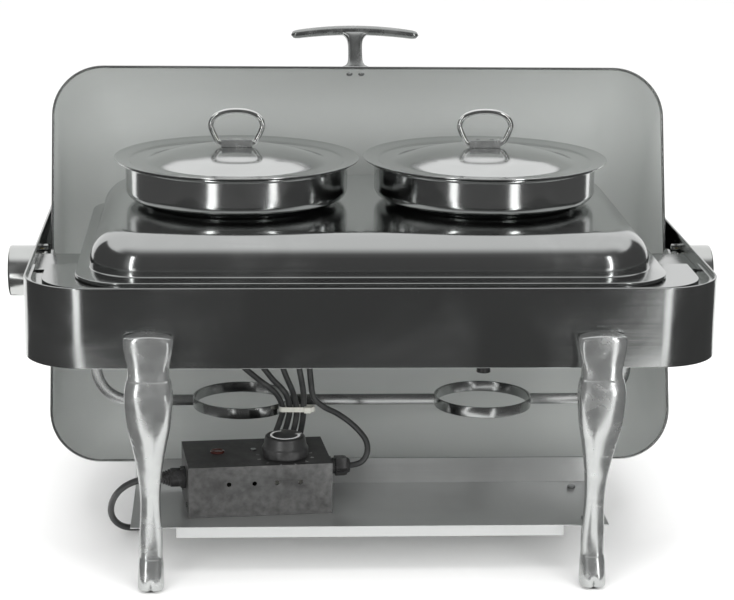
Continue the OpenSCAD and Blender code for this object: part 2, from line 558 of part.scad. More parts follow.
frame_band();
ledge();
pan_supports();
water_pan();
drain_stub();
heater_plates();
heater_covers();
burner_rack();
burner_ring(-ring_x);  // burner_ring_left
burner_ring(ring_x);  // burner_ring_right
shelf();
stretcher(-leg_x);  // stretcher_left
stretcher(leg_x);  // stretcher_right
leg(-leg_x, -1);  // leg_front_left
leg(leg_x, -1);  // leg_front_right
leg(-leg_x, 1);  // leg_rear_left
leg(leg_x, 1);  // leg_rear_right
foot_pads();
frame_bolts();
hinge_bushes();
stop_pins();
control_box_cover();
control_box_base();
thermostat();
terminal_block();
pilot_lamp();
box_screws();
mains_gland();
lead_gland();
lead(lead_1_route);  // lead_1
lead(lead_2_route);  // lead_2
lead(lead_3_route);  // lead_3
lead(lead_4_route);  // lead_4
lead(lead_5_route);  // lead_5
cable_tie();
mains_cord_run();
mains_coil();
mains_plug();
coil_tie();
knob();
lid_shell();
lid_handle();
lid_handle_screws();
hinge_arm(-1);  // hinge_arm_left
hinge_arm(1);  // hinge_arm_right
arm_rivets();
hinge_spindles();
friction_washers();
hub_cap(-1);  // hub_cap_left
hub_cap(1);  // hub_cap_right
adaptor_plate();
pan(-1);  // pan_left
pan(1);  // pan_right
pan_lid(-1);  // pan_lid_left
pan_lid(1);  // pan_lid_right
loop_handle(-1);  // loop_handle_left
loop_handle(1);  // loop_handle_right
handle_clamp(-1);  // handle_clamp_left
handle_clamp(1);  // handle_clamp_right
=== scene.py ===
# %% [markdown]
# A roll top chafer, drawn with its roll-top open: a steel frame band on four cast legs, a raised deck with
# two lidded pans, and a heater box on the shelf below. The CAD model is the frame: every piece here goes
# where the CAD says, in metres, with X to the right, Y to the back and Z up.

# %% The frame
import json

import bmesh
import bpy
import numpy as np
from mathutils import Matrix

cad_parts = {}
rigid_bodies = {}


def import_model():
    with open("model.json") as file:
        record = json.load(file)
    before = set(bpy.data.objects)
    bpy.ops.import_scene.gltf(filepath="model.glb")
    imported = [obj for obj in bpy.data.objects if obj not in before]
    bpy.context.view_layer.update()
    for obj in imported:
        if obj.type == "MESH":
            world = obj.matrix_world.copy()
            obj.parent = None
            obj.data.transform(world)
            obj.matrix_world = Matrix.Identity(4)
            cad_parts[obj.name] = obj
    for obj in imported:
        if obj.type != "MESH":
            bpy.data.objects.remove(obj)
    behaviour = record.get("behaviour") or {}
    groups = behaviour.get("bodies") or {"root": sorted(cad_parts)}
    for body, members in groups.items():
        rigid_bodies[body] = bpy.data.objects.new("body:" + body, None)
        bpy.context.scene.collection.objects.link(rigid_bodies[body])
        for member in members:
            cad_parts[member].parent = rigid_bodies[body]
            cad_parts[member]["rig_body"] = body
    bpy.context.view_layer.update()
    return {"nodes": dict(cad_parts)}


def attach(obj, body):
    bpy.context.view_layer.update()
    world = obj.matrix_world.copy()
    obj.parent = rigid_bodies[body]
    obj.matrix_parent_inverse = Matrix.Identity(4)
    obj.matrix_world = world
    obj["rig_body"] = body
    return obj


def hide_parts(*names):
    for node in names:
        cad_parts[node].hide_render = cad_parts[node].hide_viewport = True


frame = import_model()
nodes = frame["nodes"]
MM = 0.001

# %% [markdown]
# The camera stands in front, a little to the left and above, and looks down by about fourteen degrees. Its
# axes are worked out from its turn and tilt and put into one matrix, which says more plainly than three
# Euler angles which way is right, up and back.

# %% The camera
yaw, pitch, roll = 0.0591, 0.2438, 0.0128
ahead = np.array([np.sin(yaw) * np.cos(pitch), np.cos(yaw) * np.cos(pitch), -np.sin(pitch)])
right = np.array([np.cos(yaw), -np.sin(yaw), 0.0])
up = np.cross(right, ahead)
camera = bpy.data.objects.new("camera", bpy.data.cameras.new("camera"))
camera.data.lens, camera.data.sensor_width, camera.data.shift_x = 110.28, 36.0, 0.0042
camera.data.clip_end = 60.0
axes = np.stack([np.cos(roll) * right + np.sin(roll) * up, np.cos(roll) * up - np.sin(roll) * right,
                 -ahead], axis=1)
camera.matrix_world = Matrix.Translation((-0.1312, -2.2588, 0.7856)) @ Matrix(axes.tolist()).to_4x4()
bpy.context.scene.collection.objects.link(camera)
bpy.context.scene.camera = camera
bpy.context.scene.view_settings.view_transform = "Standard"
print("camera looks down by", round(float(np.degrees(pitch)), 1), "degrees")

# %% [markdown]
# Nearly every piece is a skin over a grid of points: the rows run along the piece and the columns run round
# it. Working the whole grid out at once keeps a shape as one formula. A skin that would be inside out has a
# negative volume, so each one is checked and turned before it is kept.

# %% Skins and pieces
def shell(grid, around=True, along=False, ends=False):
    """A closed skin over grid[row, column]: four-sided faces between neighbours, joined round the columns
    (around), from the last row back to the first (along), or closed by one flat face on the first and last
    rows (ends)."""
    rows, columns = grid.shape[:2]
    index = np.arange(rows * columns).reshape(rows, columns)
    side = np.roll(index, -1, axis=1)
    quads = np.stack([index, side, np.roll(side, -1, axis=0), np.roll(index, -1, axis=0)], axis=-1)
    quads = quads if along else quads[:-1]
    quads = quads if around else quads[:, :-1]
    faces = quads.reshape(-1, 4).tolist()
    if ends:
        faces += [index[0, ::-1].tolist(), index[-1].tolist()]
    raw = bpy.data.meshes.new("raw")
    raw.from_pydata(grid.reshape(-1, 3).tolist(), [], faces)
    made = bmesh.new()
    made.from_mesh(raw)
    bmesh.ops.remove_doubles(made, verts=made.verts, dist=2e-6)
    if made.calc_volume(signed=True) < 0:
        bmesh.ops.reverse_faces(made, faces=made.faces)
    made.to_mesh(raw)
    made.free()
    return raw


def piece(name, shells, body, stands_for=(), crease=32):
    """One object from one or more closed skins, smooth except where two faces meet by more than crease
    degrees."""
    joined = bmesh.new()
    for one in shells:
        joined.from_mesh(one)
        bpy.data.meshes.remove(one)
    mesh = bpy.data.meshes.new(name)
    joined.to_mesh(mesh)
    joined.free()
    mesh.shade_smooth()
    mesh.set_sharp_from_angle(angle=np.radians(crease))
    made = bpy.data.objects.new(name, mesh)
    bpy.context.scene.collection.objects.link(made)
    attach(made, body)
    if stands_for:
        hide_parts(*stands_for)
    return made


def smooth(points, steps):
    """Catmull-Rom curve through the points: each span is a cubic whose slopes come from the points either
    side."""
    p = np.asarray(points, float)
    p = np.vstack([p[:1], p, p[-1:]])
    a, b, c, d = p[:-3], p[1:-2], p[2:-1], p[3:]
    t = (np.arange(steps) / steps)[:, None, None]
    span = 0.5 * (2 * b + (c - a) * t + (2 * a - 5 * b + 4 * c - d) * t**2 + (3 * b - a - 3 * c + d) * t**3)
    return np.vstack([span.transpose(1, 0, 2).reshape(-1, p.shape[1]), p[-1]])


def tube(path, radius, sides=14, across=(0, 0, 1), flat=1.0):
    """Rings of points round a path: each ring's centre is a path point, and its plane is square to the
    path."""
    path = np.asarray(path, float)
    along = np.gradient(path, axis=0)
    along /= np.linalg.norm(along, axis=1)[:, None]
    u = np.cross(np.broadcast_to(across, path.shape), along)
    u /= np.linalg.norm(u, axis=1)[:, None]
    v = np.cross(along, u)
    turn = np.linspace(0, 2 * np.pi, sides, endpoint=False)
    ring = np.cos(turn)[None, :, None] * u[:, None] + flat * np.sin(turn)[None, :, None] * v[:, None]
    return path[:, None] + np.broadcast_to(radius, len(path))[:, None, None] * ring


def length_of(path):
    """Sum of the straight steps between neighbouring points."""
    return float(np.linalg.norm(np.diff(path, axis=0), axis=1).sum())


print("helpers for skins, curves and tubes are ready")

# %% [markdown]
# The mains cord is about two metres of round rubber flex, 6.5 mm thick. It leaves the gland on the left of
# the box, drops over the edge of the shelf, crosses the table and is wound for storage in a flat coil
# behind the box, four wraps wide and two high. The coil is one formula: the radius steps in by a pitch each
# turn on the lower layer, the cord climbs at the inside, and the radius steps out again on top. Each step
# takes half a turn, which keeps the bends wide.

# %% Mains cord
cord_d = 6.5 * MM
mains_route = [[-200, -145, 79], [-213, -146.4, 79], [-225.5, -145.6, 76.6], [-237, -141.5, 70.6],
               [-246, -133.5, 61.2], [-252, -123, 49.8], [-255.2, -112.2, 37.8], [-255.6, -102.4, 26.6],
               [-252.8, -94.6, 16.9], [-246.6, -88.6, 9.4], [-237.4, -82.6, 4.9], [-225, -75.3, 3.3],
               [-209.5, -63.6, 3.3], [-195, -46, 3.3], [-182, -21, 3.3], [-168, 8, 3.3], [-148, 36, 3.3],
               [-122, 52, 3.3], [-96, 57.7, 3.3]]
coil_centre = np.array([-96.0, 104.0])
outer_turn, wrap_pitch, low_z, high_z, turns = 46.3, 6.7, 3.3, 9.8, 7


def eased_step(x):
    """0 below 0, 1 above 1, and 3x^2 - 2x^3 between."""
    x = np.clip(x, 0, 1)
    return x * x * (3 - 2 * x)


theta = np.arange(10, 360 * turns + 1, 10.0)
steps_in = sum(eased_step((theta - 360 * k - 180) / 180) for k in range(3))
steps_out = sum(eased_step((theta - 360 * k) / 180) for k in range(4, 7))
coil_radius = outer_turn - wrap_pitch * (steps_in - steps_out)
coil_z = low_z + (high_z - low_z) * eased_step((theta - 360 * 3 - 60) / 180)
heading = np.radians(270 + theta)
coil = np.stack([coil_centre[0] + coil_radius * np.cos(heading),
                 coil_centre[1] + coil_radius * np.sin(heading), coil_z], axis=1)
tail = np.stack([coil_centre[0] + np.arange(6.0, 43, 6), np.full(7, coil_centre[1] - outer_turn),
                 np.full(7, high_z)], axis=1)
mains_path = MM * np.vstack([smooth(mains_route, 5), coil, tail])
mains_cord = piece("mains_cord", [shell(tube(mains_path, cord_d / 2), ends=True)], "root",
                   ["mains_cord_run", "mains_coil"])
print("mains cord", round(length_of(mains_path), 3), "m")

# %% [markdown]
# Five heater leads come out of the box, four on its top and one from the gland on the right. A pale tie
# gathers the first four, and all five rise towards the tray. Each is a smooth curve through its own points.
# Each one's length is printed; both of its ends go into the appliance.

# %% Heater leads
lead_d = 6 * MM
lead_routes = {
    "lead_1": [[-97, -92, 86], [-97, -86, 86], [-95.4, -80.5, 87.2], [-93.8, -76, 90.6],
               [-92.3, -73.4, 95.6], [-91, -73, 100.1], [-86, -74.5, 114], [-83, -76.5, 129],
               [-91, -80.5, 147], [-112, -86.5, 166], [-132, -91, 188], [-139, -92, 218]],
    "lead_2": [[-87, -91, 86], [-87, -86, 86], [-85.7, -80.5, 87.2], [-84.4, -76, 90.6],
               [-83.1, -73.4, 95.6], [-82, -73, 100.1], [-78, -74.5, 114], [-76, -76.5, 129],
               [-81, -81, 147], [-96, -88, 166], [-110, -92.5, 189], [-116, -93, 218]],
    "lead_3": [[-77, -90, 86], [-77, -86, 86], [-75.9, -80.5, 87.2], [-74.9, -76, 90.6],
               [-73.8, -73.4, 95.6], [-73, -73, 100.1], [-69.7, -74.5, 115], [-69, -77, 129],
               [-73, -83, 148], [-81, -90, 169], [-88, -90.5, 192], [-92, -86, 218]],
    "lead_4": [[-67, -89, 86], [-67, -85, 86], [-66.5, -79.5, 87.2], [-65.9, -75, 90.6],
               [-65.4, -72.4, 95.6], [-65, -72, 100.1], [-62.7, -74.5, 115], [-62, -77, 129],
               [-62.5, -84, 148], [-66, -90.5, 170], [-71, -85, 194], [-78, -73, 218]],
    "lead_5": [[-24, -115.4, 80.9], [-14, -114.6, 81], [-4, -112.6, 84], [1.5, -107.8, 93],
               [-0.5, -101.5, 104], [-12, -94, 116], [-27, -88, 126], [-42, -84.5, 133], [-52, -84, 143],
               [-55, -87, 160], [-58, -82, 188], [-64, -68, 218]],
}
leads = []
for name, route in lead_routes.items():
    path = MM * smooth(route, 6)
    across = (0, 1, 0) if name == "lead_5" else (1, 0, 0)
    lead = piece("heater_" + name, [shell(tube(path, lead_d / 2, 12, across), ends=True)], "root", [name])
    leads.append(lead)
    print(lead.name, round(length_of(path), 3), "m")

# %% [markdown]
# Turned and folded parts share two more helpers. A profile's corners are rounded by a short curve, because
# no real edge is sharp, and the profile is then spun about an axis or carried round a rounded rectangle.

# %% Profiles, lathes and rounded rectangles
def eased(points, radius, steps=4, closed=False):
    """Rounds each corner of a line of points: a quadratic curve from a point one radius before the corner
    to one radius after it, whose middle control is the corner itself."""
    p = np.asarray(points, float)
    before, after = np.roll(p, 1, axis=0) - p, np.roll(p, -1, axis=0) - p
    size_b, size_a = np.linalg.norm(before, axis=1)[:, None], np.linalg.norm(after, axis=1)[:, None]
    r = np.broadcast_to(radius, len(p)).astype(float)[:, None]
    a = p + before / size_b * np.minimum(r, 0.45 * size_b)
    b = p + after / size_a * np.minimum(r, 0.45 * size_a)
    t = np.linspace(0, 1, steps + 1)[None, :, None]
    curve = ((1 - t) ** 2 * a[:, None] + 2 * t * (1 - t) * p[:, None] + t**2
             * b[:, None]).reshape(-1, p.shape[1])
    return curve if closed else np.vstack([p[:1], curve[steps + 1:-steps - 1], p[-1:]])


def lathe(profile, centre, steps=96, axis="z"):
    """Spins a profile of (radius, height) points about an upright axis, or about one along X, through
    centre."""
    turn = np.linspace(0, 2 * np.pi, steps, endpoint=False)
    r, h = np.asarray(profile, float).T
    c, s = r[:, None] * np.cos(turn), r[:, None] * np.sin(turn)
    h = np.broadcast_to(h[:, None], c.shape)
    grid = np.stack([c, s, h] if axis == "z" else [h, c, s], axis=-1)
    return MM * (grid + np.asarray(centre, float))


def framed(rows, centre_y=0.0, steps=10):
    """One rounded rectangle for each row of (half width, half length, corner radius, height): four arcs,
    each about its own corner's centre, joined by straight sides."""
    hw, hl, r, z = np.asarray(rows, float).T[:, :, None]
    quarter = np.repeat(np.arange(4), steps + 1)
    turn = np.pi / 2 * (quarter + np.tile(np.linspace(0, 1, steps + 1), 4))
    sx = np.where((quarter == 0) | (quarter == 3), 1, -1)
    sy = np.where(quarter < 2, 1, -1)
    x = sx * (hw - r) + r * np.cos(turn)
    y = centre_y + sy * (hl - r) + r * np.sin(turn)
    return MM * np.stack([x, y, np.broadcast_to(z, x.shape)], axis=-1)


def beside(points, hw, hl, r):
    """Rows for framed() from a profile of (distance outside the outline, height) points."""
    u, z = np.asarray(points, float).T
    return np.stack([hw + u, hl + u, r + u, z], axis=1)


def turned_x(grid, degrees, origin):
    """Turns points (in metres) about X through the origin, then moves them by origin, given in
    millimetres."""
    a = np.radians(degrees)
    x, y, z = np.moveaxis(grid, -1, 0)
    return np.stack([x, y * np.cos(a) - z * np.sin(a), y * np.sin(a) + z * np.cos(a)],
                    axis=-1) + MM * np.asarray(origin)


print("helpers for turned and folded parts are ready")

# %% [markdown]
# The frame band is one strip of stainless sheet bent round a rounded rectangle. Its top edge is rolled
# inwards into a bead and its lower edge returns under, so both edges catch a thin bright line. A profile
# carried round the outline makes wall, bead and return as one skin.

# %% Frame band
band_hw, band_hl, band_r, band_low, band_top = 330.0, 242.0, 62.0, 217.0, 294.0
band_profile = eased([[0, band_low], [0, band_top], [-2.6, band_top], [-2.6, band_top - 4],
                      [-1.2, band_top - 4.4],
                      [-1.2, band_low + 1.2], [-7, band_low + 1.2], [-7, band_low]],
                     [1.0, 1.3, 1.2, 0.6, 0.5, 0.6, 0.5, 0.5], closed=True)
frame_band = piece("frame_band_sheet", [shell(framed(beside(band_profile, band_hw, band_hl, band_r),
                                                     steps=20), along=True)],
                   "root", ["frame_band"])
print("band", len(frame_band.data.polygons), "faces")

# %% [markdown]
# The roll-top is a shell like half a barrel with rounded ends: a rounded rectangle spun half a turn about
# its long axis. Outer and inner skins are worked out together as one closed loop at each place along the
# barrel, so the sheet has its real thickness. Everything is drawn closed and then turned open about the
# pivot.

# %% Roll-top shell
open_turn = -109.3
pivot = np.array([0.0, -11.0, 257.0])
seat = np.array([0.0, -12.0, 28.0])
lid_hw, lid_radius, lid_corner, sheet = 320.0, 205.6, 52.0, 1.2


def opened(grid):
    """From the closed roll-top's own frame, with its rim in the plane z = 0, to the open roll-top on its
    pivot."""
    return turned_x(grid + MM * seat, open_turn, pivot)


def barrel_line(inset, radial=8, arc=14, long=16):
    """Half of a rounded rectangle, from one pole on the axis to the other: (place along the axis,
    radius)."""
    r = lid_corner - inset
    a = np.linspace(0, np.pi / 2, arc)
    disc = np.linspace(0, lid_radius - lid_corner, radial, endpoint=False)
    x = np.concatenate([np.full(radial, lid_hw - inset), lid_hw - lid_corner + r * np.cos(a)])
    rho = np.concatenate([disc, lid_radius - lid_corner + r * np.sin(a)])
    middle = np.linspace(lid_hw - lid_corner, 0, long)[1:]
    x, rho = np.concatenate([x, middle]), np.concatenate([rho, np.full(long - 1, lid_radius - inset)])
    return np.concatenate([x, -x[-2::-1]]), np.concatenate([rho, rho[-2::-1]])


half_turn = np.linspace(0, np.pi, 73)
walls = []
for inset, turn in ((0.0, half_turn), (sheet, half_turn[::-1])):
    x, rho = barrel_line(inset)
    walls.append(np.stack([np.broadcast_to(x[:, None], (len(x), len(turn))), rho[:, None] * np.cos(turn),
                           rho[:, None] * np.sin(turn)], axis=-1))
lid_shell = piece("roll_top_shell", [shell(opened(MM * np.concatenate(walls, axis=1)))], "roll_top",
                  ["lid_shell"])
hem_profile = eased([[0.8, 0], [0.8, 4], [-2.0, 4], [-2.0, 0]], 1.3, closed=True)
lid_hem = piece("roll_top_hem", [shell(opened(framed(beside(hem_profile, lid_hw, lid_radius, lid_corner),
                                                     steps=16)), along=True)],
                "roll_top", ())
print("roll-top", len(lid_shell.data.polygons), "faces")

# %% [markdown]
# The adaptor plate is pressed from one sheet: a flat flange, an upright wall and a raised deck whose edge
# is a wide quarter round. Rows of rounded rectangles follow that section up the outside and down the
# inside.

# %% Adaptor plate
deck_y, deck_edge, deck_top, flange_top = -24.5, 32.0, 331.5, 294.2


def deck_rows(t):
    """Section of the deck, t inside its outer face: lip, flange, wall, then a quarter circle of the edge
    radius."""
    a = np.linspace(0, np.pi / 2, 15)
    foot = eased([[282.5, 198, 50, 291.4], [282.5, 198, 50, flange_top], [270, 174.5, 52, flange_top],
                  [270, 174.5, 52, deck_top - deck_edge]], [0, 1.0, 1.6, 0])
    c, s = deck_edge * (1 - np.cos(a)), deck_edge * (1 - np.sin(a))
    edge = np.stack([270 - c, 174.5 - c, 52 - c, deck_top - s], axis=1)
    crown = [[232, 136.5, 16, deck_top]]
    return np.vstack([foot, edge[1:], crown]) - [t, t, t, t]


outside, inside = deck_rows(0.0), deck_rows(1.0)
inside[0, 3] = outside[0, 3]
adaptor = piece("adaptor_deck", [shell(framed(np.vstack([inside[::-1], outside]), deck_y, 14), ends=True)],
                "adaptor_plate", ["adaptor_plate"])
print("deck", len(adaptor.data.polygons), "faces")

# %% [markdown]
# Under the deck sits the water pan, a plain deep tray with a flange. It shows when the deck is lifted.

# %% Water pan
tray = [[280, 196, 48, 290.0], [280, 196, 48, 291.2], [262, 173.5, 44, 291.2], [262, 173.5, 44, 237.0]]
tray_under = [[263, 174.5, 45, 236.0], [263, 174.5, 45, 290.0]]
tray_rows = np.vstack([np.array([[200, 110, 20, 237.0]]), eased(tray[::-1], [3, 3, 0.5, 0.4]),
                       eased(tray_under[::-1], [1, 5]), np.array([[200, 110, 20, 236.0]])])
water_pan = piece("water_tray", [shell(framed(tray_rows, deck_y, 10), ends=True)], "root", ["water_pan"])
print("water tray", len(water_pan.data.polygons), "faces")

# %% [markdown]
# Each pan is spun from one disc: a stepped base, an upright wall and a flared rim. Its lid is a shallow
# dished disc whose rim rests in the pan's mouth. Both are profiles spun about the pan's centre.

# %% Pans and pan lids
off_x, pan_x, pan_y, pan_base, pan_h, pan_r = -3.3, 125.75, -15.0, 331.5, 42.0, 112.0
pan_places = {"left": off_x - pan_x, "right": off_x + pan_x}
pan_top = pan_base + pan_h
pan_profile = [[0, 0], [94, 0], [98, 3.2], [104, 4.5], [109, 7], [pan_r, 12], [pan_r, pan_h - 3],
               [pan_r + 6, pan_h - 1.4],
               [pan_r + 6, pan_h], [pan_r - 0.4, pan_h], [pan_r - 1.2, pan_h - 2], [pan_r - 1.2, 12.3],
               [108.4, 8],
               [103.6, 5.7], [97.4, 4.4], [93.6, 1.2], [0, 1.2]]
pan_round = [0, 2, 1.2, 1.2, 2, 2.4, 1.4, 0.5, 0.5, 1.5, 1.5, 2.4, 2, 1.2, 1.2, 2, 0]
pan_lid_profile = [[0, 13], [20, 12.7], [45, 10.8], [68, 6.8], [82, 2.4], [88, 0.4], [92, -0.6],
                   [107, -0.6], [108.8, 0.6],
                   [112, 1.1], [120, 2.1], [123.6, 3.2], [123.6, 2.1], [120, 1.1], [112, 0.1], [108.8, 0.1],
                   [107.2, -1.6],
                   [91.6, -1.6], [87.6, -0.7], [81.6, 1.3], [67.7, 5.7], [44.8, 9.7], [19.9, 11.6],
                   [0, 11.9]]
pans, pan_lids = {}, {}
for side, x in pan_places.items():
    pans[side] = piece("pan_bowl_" + side, [shell(lathe(eased(pan_profile, pan_round), (x, pan_y, pan_base),
                                                        128))],
                       "pan_" + side, ["pan_" + side], crease=50)
    soft_lid = eased(pan_lid_profile, [0, 9, 10, 9, 4, 2, 1.5, 1, 0.6, 1.5, 1.5, 0.4, 0.4, 1.5, 1.5, 0.5,
                                       0.8, 1, 1.5, 4, 9, 10, 9, 0], 5)
    pan_lids[side] = piece("pan_cover_" + side, [shell(lathe(soft_lid, (x, pan_y, pan_top), 128))],
                           "pan_lid_" + side,
                           ["pan_lid_" + side], crease=50)
    print(pans[side].name, len(pans[side].data.polygons), "faces,", pan_lids[side].name,
          len(pan_lids[side].data.polygons))

# %% [markdown]
# The loop handle is one length of stainless rod, bent into a wide head, drawn in to a waist and closed
# through a cast clamp. A tube follows the bent line.

# %% Loop handles
loop_half = [[0, 33.5], [12, 32.2], [22, 27.5], [26, 19.8], [24.3, 12.8], [21.4, 6.6], [18.9, 2.5],
             [15.2, 0.6], [0, 0.4]]
loop_line = np.array(loop_half + [[-x, z] for x, z in loop_half[-2:0:-1]])
loop_line = smooth(np.vstack([loop_line[-2:], loop_line, loop_line[:3]]), 7)[14:14 + 7 * len(loop_line)]
loop_handles = {}
for side, x in pan_places.items():
    around = np.stack([loop_line[:, 0] + x, np.full(len(loop_line), pan_y),
                       loop_line[:, 1] + pan_top + 15.9], axis=1)
    open_ring = tube(MM * np.vstack([around[-2:], around, around[:2]]), 2.9 * MM, 14, (0, 1, 0))[2:-2]
    loop_handles[side] = piece("loop_" + side, [shell(open_ring, along=True)], "pan_lid_" + side,
                               ["loop_handle_" + side])
    print(loop_handles[side].name, len(loop_handles[side].data.polygons), "faces")

# %% [markdown]
# The legs are cast: a pad against the band, a narrow neck, a bulging knee and a slim shin that ends in a
# cloven toe. Sections measured up the leg are joined by a smooth curve, and each section is a rounded
# square whose back lies flat on the band where the two meet. A groove in front, deepest near the floor,
# parts the toes.

# %% Legs
leg_stations = np.array([
    [2, 11.0, 11.6, 1], [3, 12.0, 13.6, 1], [6, 12.5, 15, 1], [14, 12.3, 14.5, 0.5], [24, 11.9, 12.6, -2],
                         [30, 11.2, 11.2, -4],
    [34, 10.9, 10.3, -5], [50, 11.1, 9.5, -6], [70, 9.9, 8.6, -5], [88, 9.45, 8.6, -3], [105, 10.4, 9.4, 0],
    [122, 12.2, 10.8, 4], [145, 16, 13.2, 9], [165, 19.9, 15, 13], [185, 22, 15.4, 15.3],
                         [200, 22.5, 15, 15.5],
    [209, 20.9, 13.2, 13.8], [213, 19.6, 12.2, 12.6], [222, 19.6, 11, 11.2], [236, 22.2, 10.6, 10.6],
    [245, 23, 10.5, 10.5], [248.5, 22.6, 10.1, 10.1], [250, 21, 9.6, 9.6], [250.6, 17, 8.2, 8.2],
                         [250.8, 8, 4, 4]])


def leg_skin(x, side):
    """Rounded-square sections (cosine and sine raised to 0.72) on a smooth curve through the stations; the
    back is kept outside the band's wall above its lower edge, the crown rises in the middle, and the toe
    groove is a bell across the front that fades out upwards."""
    rows = smooth(leg_stations, 6)
    z, hw, hd, mid = rows.T[:, :, None]
    turn = np.linspace(0, 2 * np.pi, 56, endpoint=False)
    c, s = np.cos(turn), np.sin(turn)
    px = hw * np.sign(c) * np.abs(c) ** 0.72
    py = mid + hd * np.sign(s) * np.abs(s) ** 0.72
    py = py - 3.2 * (s > 0) * np.exp(-((px / 2.1) ** 2)) * eased_step((17 - z) / 12)
    py = np.where(z > band_low - 2, np.maximum(py, 0), py)
    pz = z + 2.6 * eased_step((z - 236) / 12) * (1 - (px / 23) ** 2)
    return MM * np.stack([x - side * px, side * (band_hl + py), pz], axis=-1)


legs = []
for name, x, side in (("front_left", -211, -1), ("front_right", 211, -1), ("rear_left", -211, 1),
                      ("rear_right", 211, 1)):
    legs.append(piece("cast_leg_" + name, [shell(leg_skin(x, side), ends=True)], "root", ["leg_" + name],
                      crease=50))
print("legs", [len(leg.data.polygons) for leg in legs], "faces")

# %% [markdown]
# The roll-top's handle is one casting: a foot plate that swells into a stem, which flares into a gently
# arched crossbar. The stem is a stack of rounded sections whose width follows a measured curve, and the bar
# is a tube of an oval section along the arch.

# %% Roll-top handle
bar_radius, bar_half, bar_out, handle_tilt = 420.0, 68.0, 47.0, -6.7


def at_handle(grid):
    """From the handle's own frame, where it stands out along -Y from the roll-top, to the open roll-top."""
    return opened(turned_x(grid + MM * np.array([off_x, -lid_radius, 0]), handle_tilt, (0, 0, 0)))


stem = smooth([[-0.4, 21, 7], [3, 21, 7], [4.4, 19.5, 6.7], [6.5, 12.5, 6.6], [9, 9.4, 6.4], [13, 8, 6.2],
               [22, 7.6, 6],
               [32, 7.8, 5.6], [37.5, 9.2, 5.3], [41, 12, 5], [43.6, 16.5, 4.4], [45.5, 22, 3.4]], 4)
turn = np.linspace(0, 2 * np.pi, 40, endpoint=False)
c, s = np.cos(turn), np.sin(turn)
out, wide, deep = stem.T[:, :, None]
stem_grid = np.stack([wide * np.sign(c) * np.abs(c) ** 0.6, -out + 0 * c,
                      deep * np.sign(s) * np.abs(s) ** 0.6], axis=-1)
along = np.linspace(-1, 1, 61)
bar_x = bar_half * along
bar_line = np.stack([bar_x, bar_radius - bar_out - np.sqrt(bar_radius**2 - bar_x**2), 0 * bar_x], axis=1)
bar_round = (5.15 - 0.6 * along**2) * (1 - np.abs(along) ** 26) ** 0.5 + 0.02
bar_grid = tube(MM * bar_line, MM * bar_round, 24, (0, 1, 0), 1.0)
lid_handle = piece("roll_top_handle", [shell(at_handle(MM * stem_grid), ends=True),
                                       shell(at_handle(bar_grid), ends=True)],
                   "roll_top", ["lid_handle"], crease=60)
screw_head = eased([[0, 5.8], [1.6, 5.9], [2.9, 5.2], [3.5, 3.9], [3.5, 3.7], [1.9, 3.7], [1.9, -3],
                    [0, -3]], 0.5)
heads = []
for x in (-6.3, 6.3):
    head = lathe(screw_head, (0, 0, 0), 28) - MM * np.array([0, 0, 2.4])
    head = np.stack([head[..., 0] + MM * x, head[..., 2], head[..., 1]], axis=-1)
    heads.append(shell(at_handle(head)))
handle_screws = piece("roll_top_handle_screws", heads, "roll_top", ["lid_handle_screws"])
print("handle", len(lid_handle.data.polygons), "faces")

# %% [markdown]
# The hub caps cover the roll-top's pivots on both sides, and the two rings on the rack hold burners when
# there is no electric heat. All are turned parts with softly broken edges.

# %% Hub caps and burner rings
cap_profile = eased([[0, 0], [22, 0], [26, 2], [26, 27], [24, 28.2], [20, 28.2], [19.4, 27.6], [0, 27.6]],
                    [0, 1, 1, 1.4, 0.8, 0.3, 0.3, 0])
ring_profile = eased([[50, -6], [50, 5], [48, 5], [48, -6]], 0.7, closed=True)
caps, rings = {}, {}
for side, sign in (("left", -1), ("right", 1)):
    profile = cap_profile * [1, sign]
    caps[side] = piece("hub_cover_" + side, [shell(lathe(profile, (sign * 332, pivot[1], pivot[2]), 72,
                                                         "x"))],
                       "roll_top", ["hub_cap_" + side])
    rings[side] = piece("ring_" + side, [shell(lathe(ring_profile, (sign * 124, -38, 127), 96), along=True)],
                        "root", ["burner_ring_" + side])
print("caps and rings made")

# %% [markdown]
# The rack is a flat bar that crosses under the tray and is bent up at both ends to hang from the side
# supports. A rounded strip section is carried along the bent line, and broken where the burner rings are
# welded in.

# %% Burner rack
def strip(path, half_w, half_t, wide_way, ease=0.4):
    """A flat bar along a path: its width lies along wide_way x path and its thickness along wide_way."""
    path = np.asarray(path, float)
    t = np.gradient(path, axis=0)
    t /= np.linalg.norm(t, axis=1)[:, None]
    way = np.broadcast_to(np.asarray(wide_way, float), path.shape)
    flat = np.cross(way, t)
    section = eased([[-half_w, -half_t], [half_w, -half_t], [half_w, half_t], [-half_w, half_t]], ease, 3,
                    closed=True)
    return MM * (path[:, None] + section[None, :, :1] * flat[:, None] + section[None, :, 1:] * way[:, None])


bend = np.linspace(-np.pi / 2, 0, 14)
rack_shells = []
for sign in (-1, 1):
    outer_part = np.vstack([[[sign * 174, -38, 127]],
                            np.stack([sign * (237 + 35 * np.cos(bend)), 0 * bend - 38,
                                      162 + 35 * np.sin(bend)], axis=1),
                            [[sign * 272, -38, 276]]])
    rack_shells.append(shell(strip(outer_part, 5.5, 1.25, (0, 1, 0)), ends=True))
rack_shells.append(shell(strip([[-74, -38, 127], [0, -38, 127], [74, -38, 127]], 5.5, 1.25, (0, 1, 0)),
                         ends=True))
rack = piece("rack_bar", rack_shells, "root", ["burner_rack"])
print("rack", len(rack.data.polygons), "faces")

# %% [markdown]
# The box stands a few degrees askew on the shelf. Its parts are placed by one small function that turns a
# grid from the box's own frame. The thermostat knob has a sloping skirt, a printed arc that grows towards a
# pointer on its cap, and a scale of short marks round it on the box.

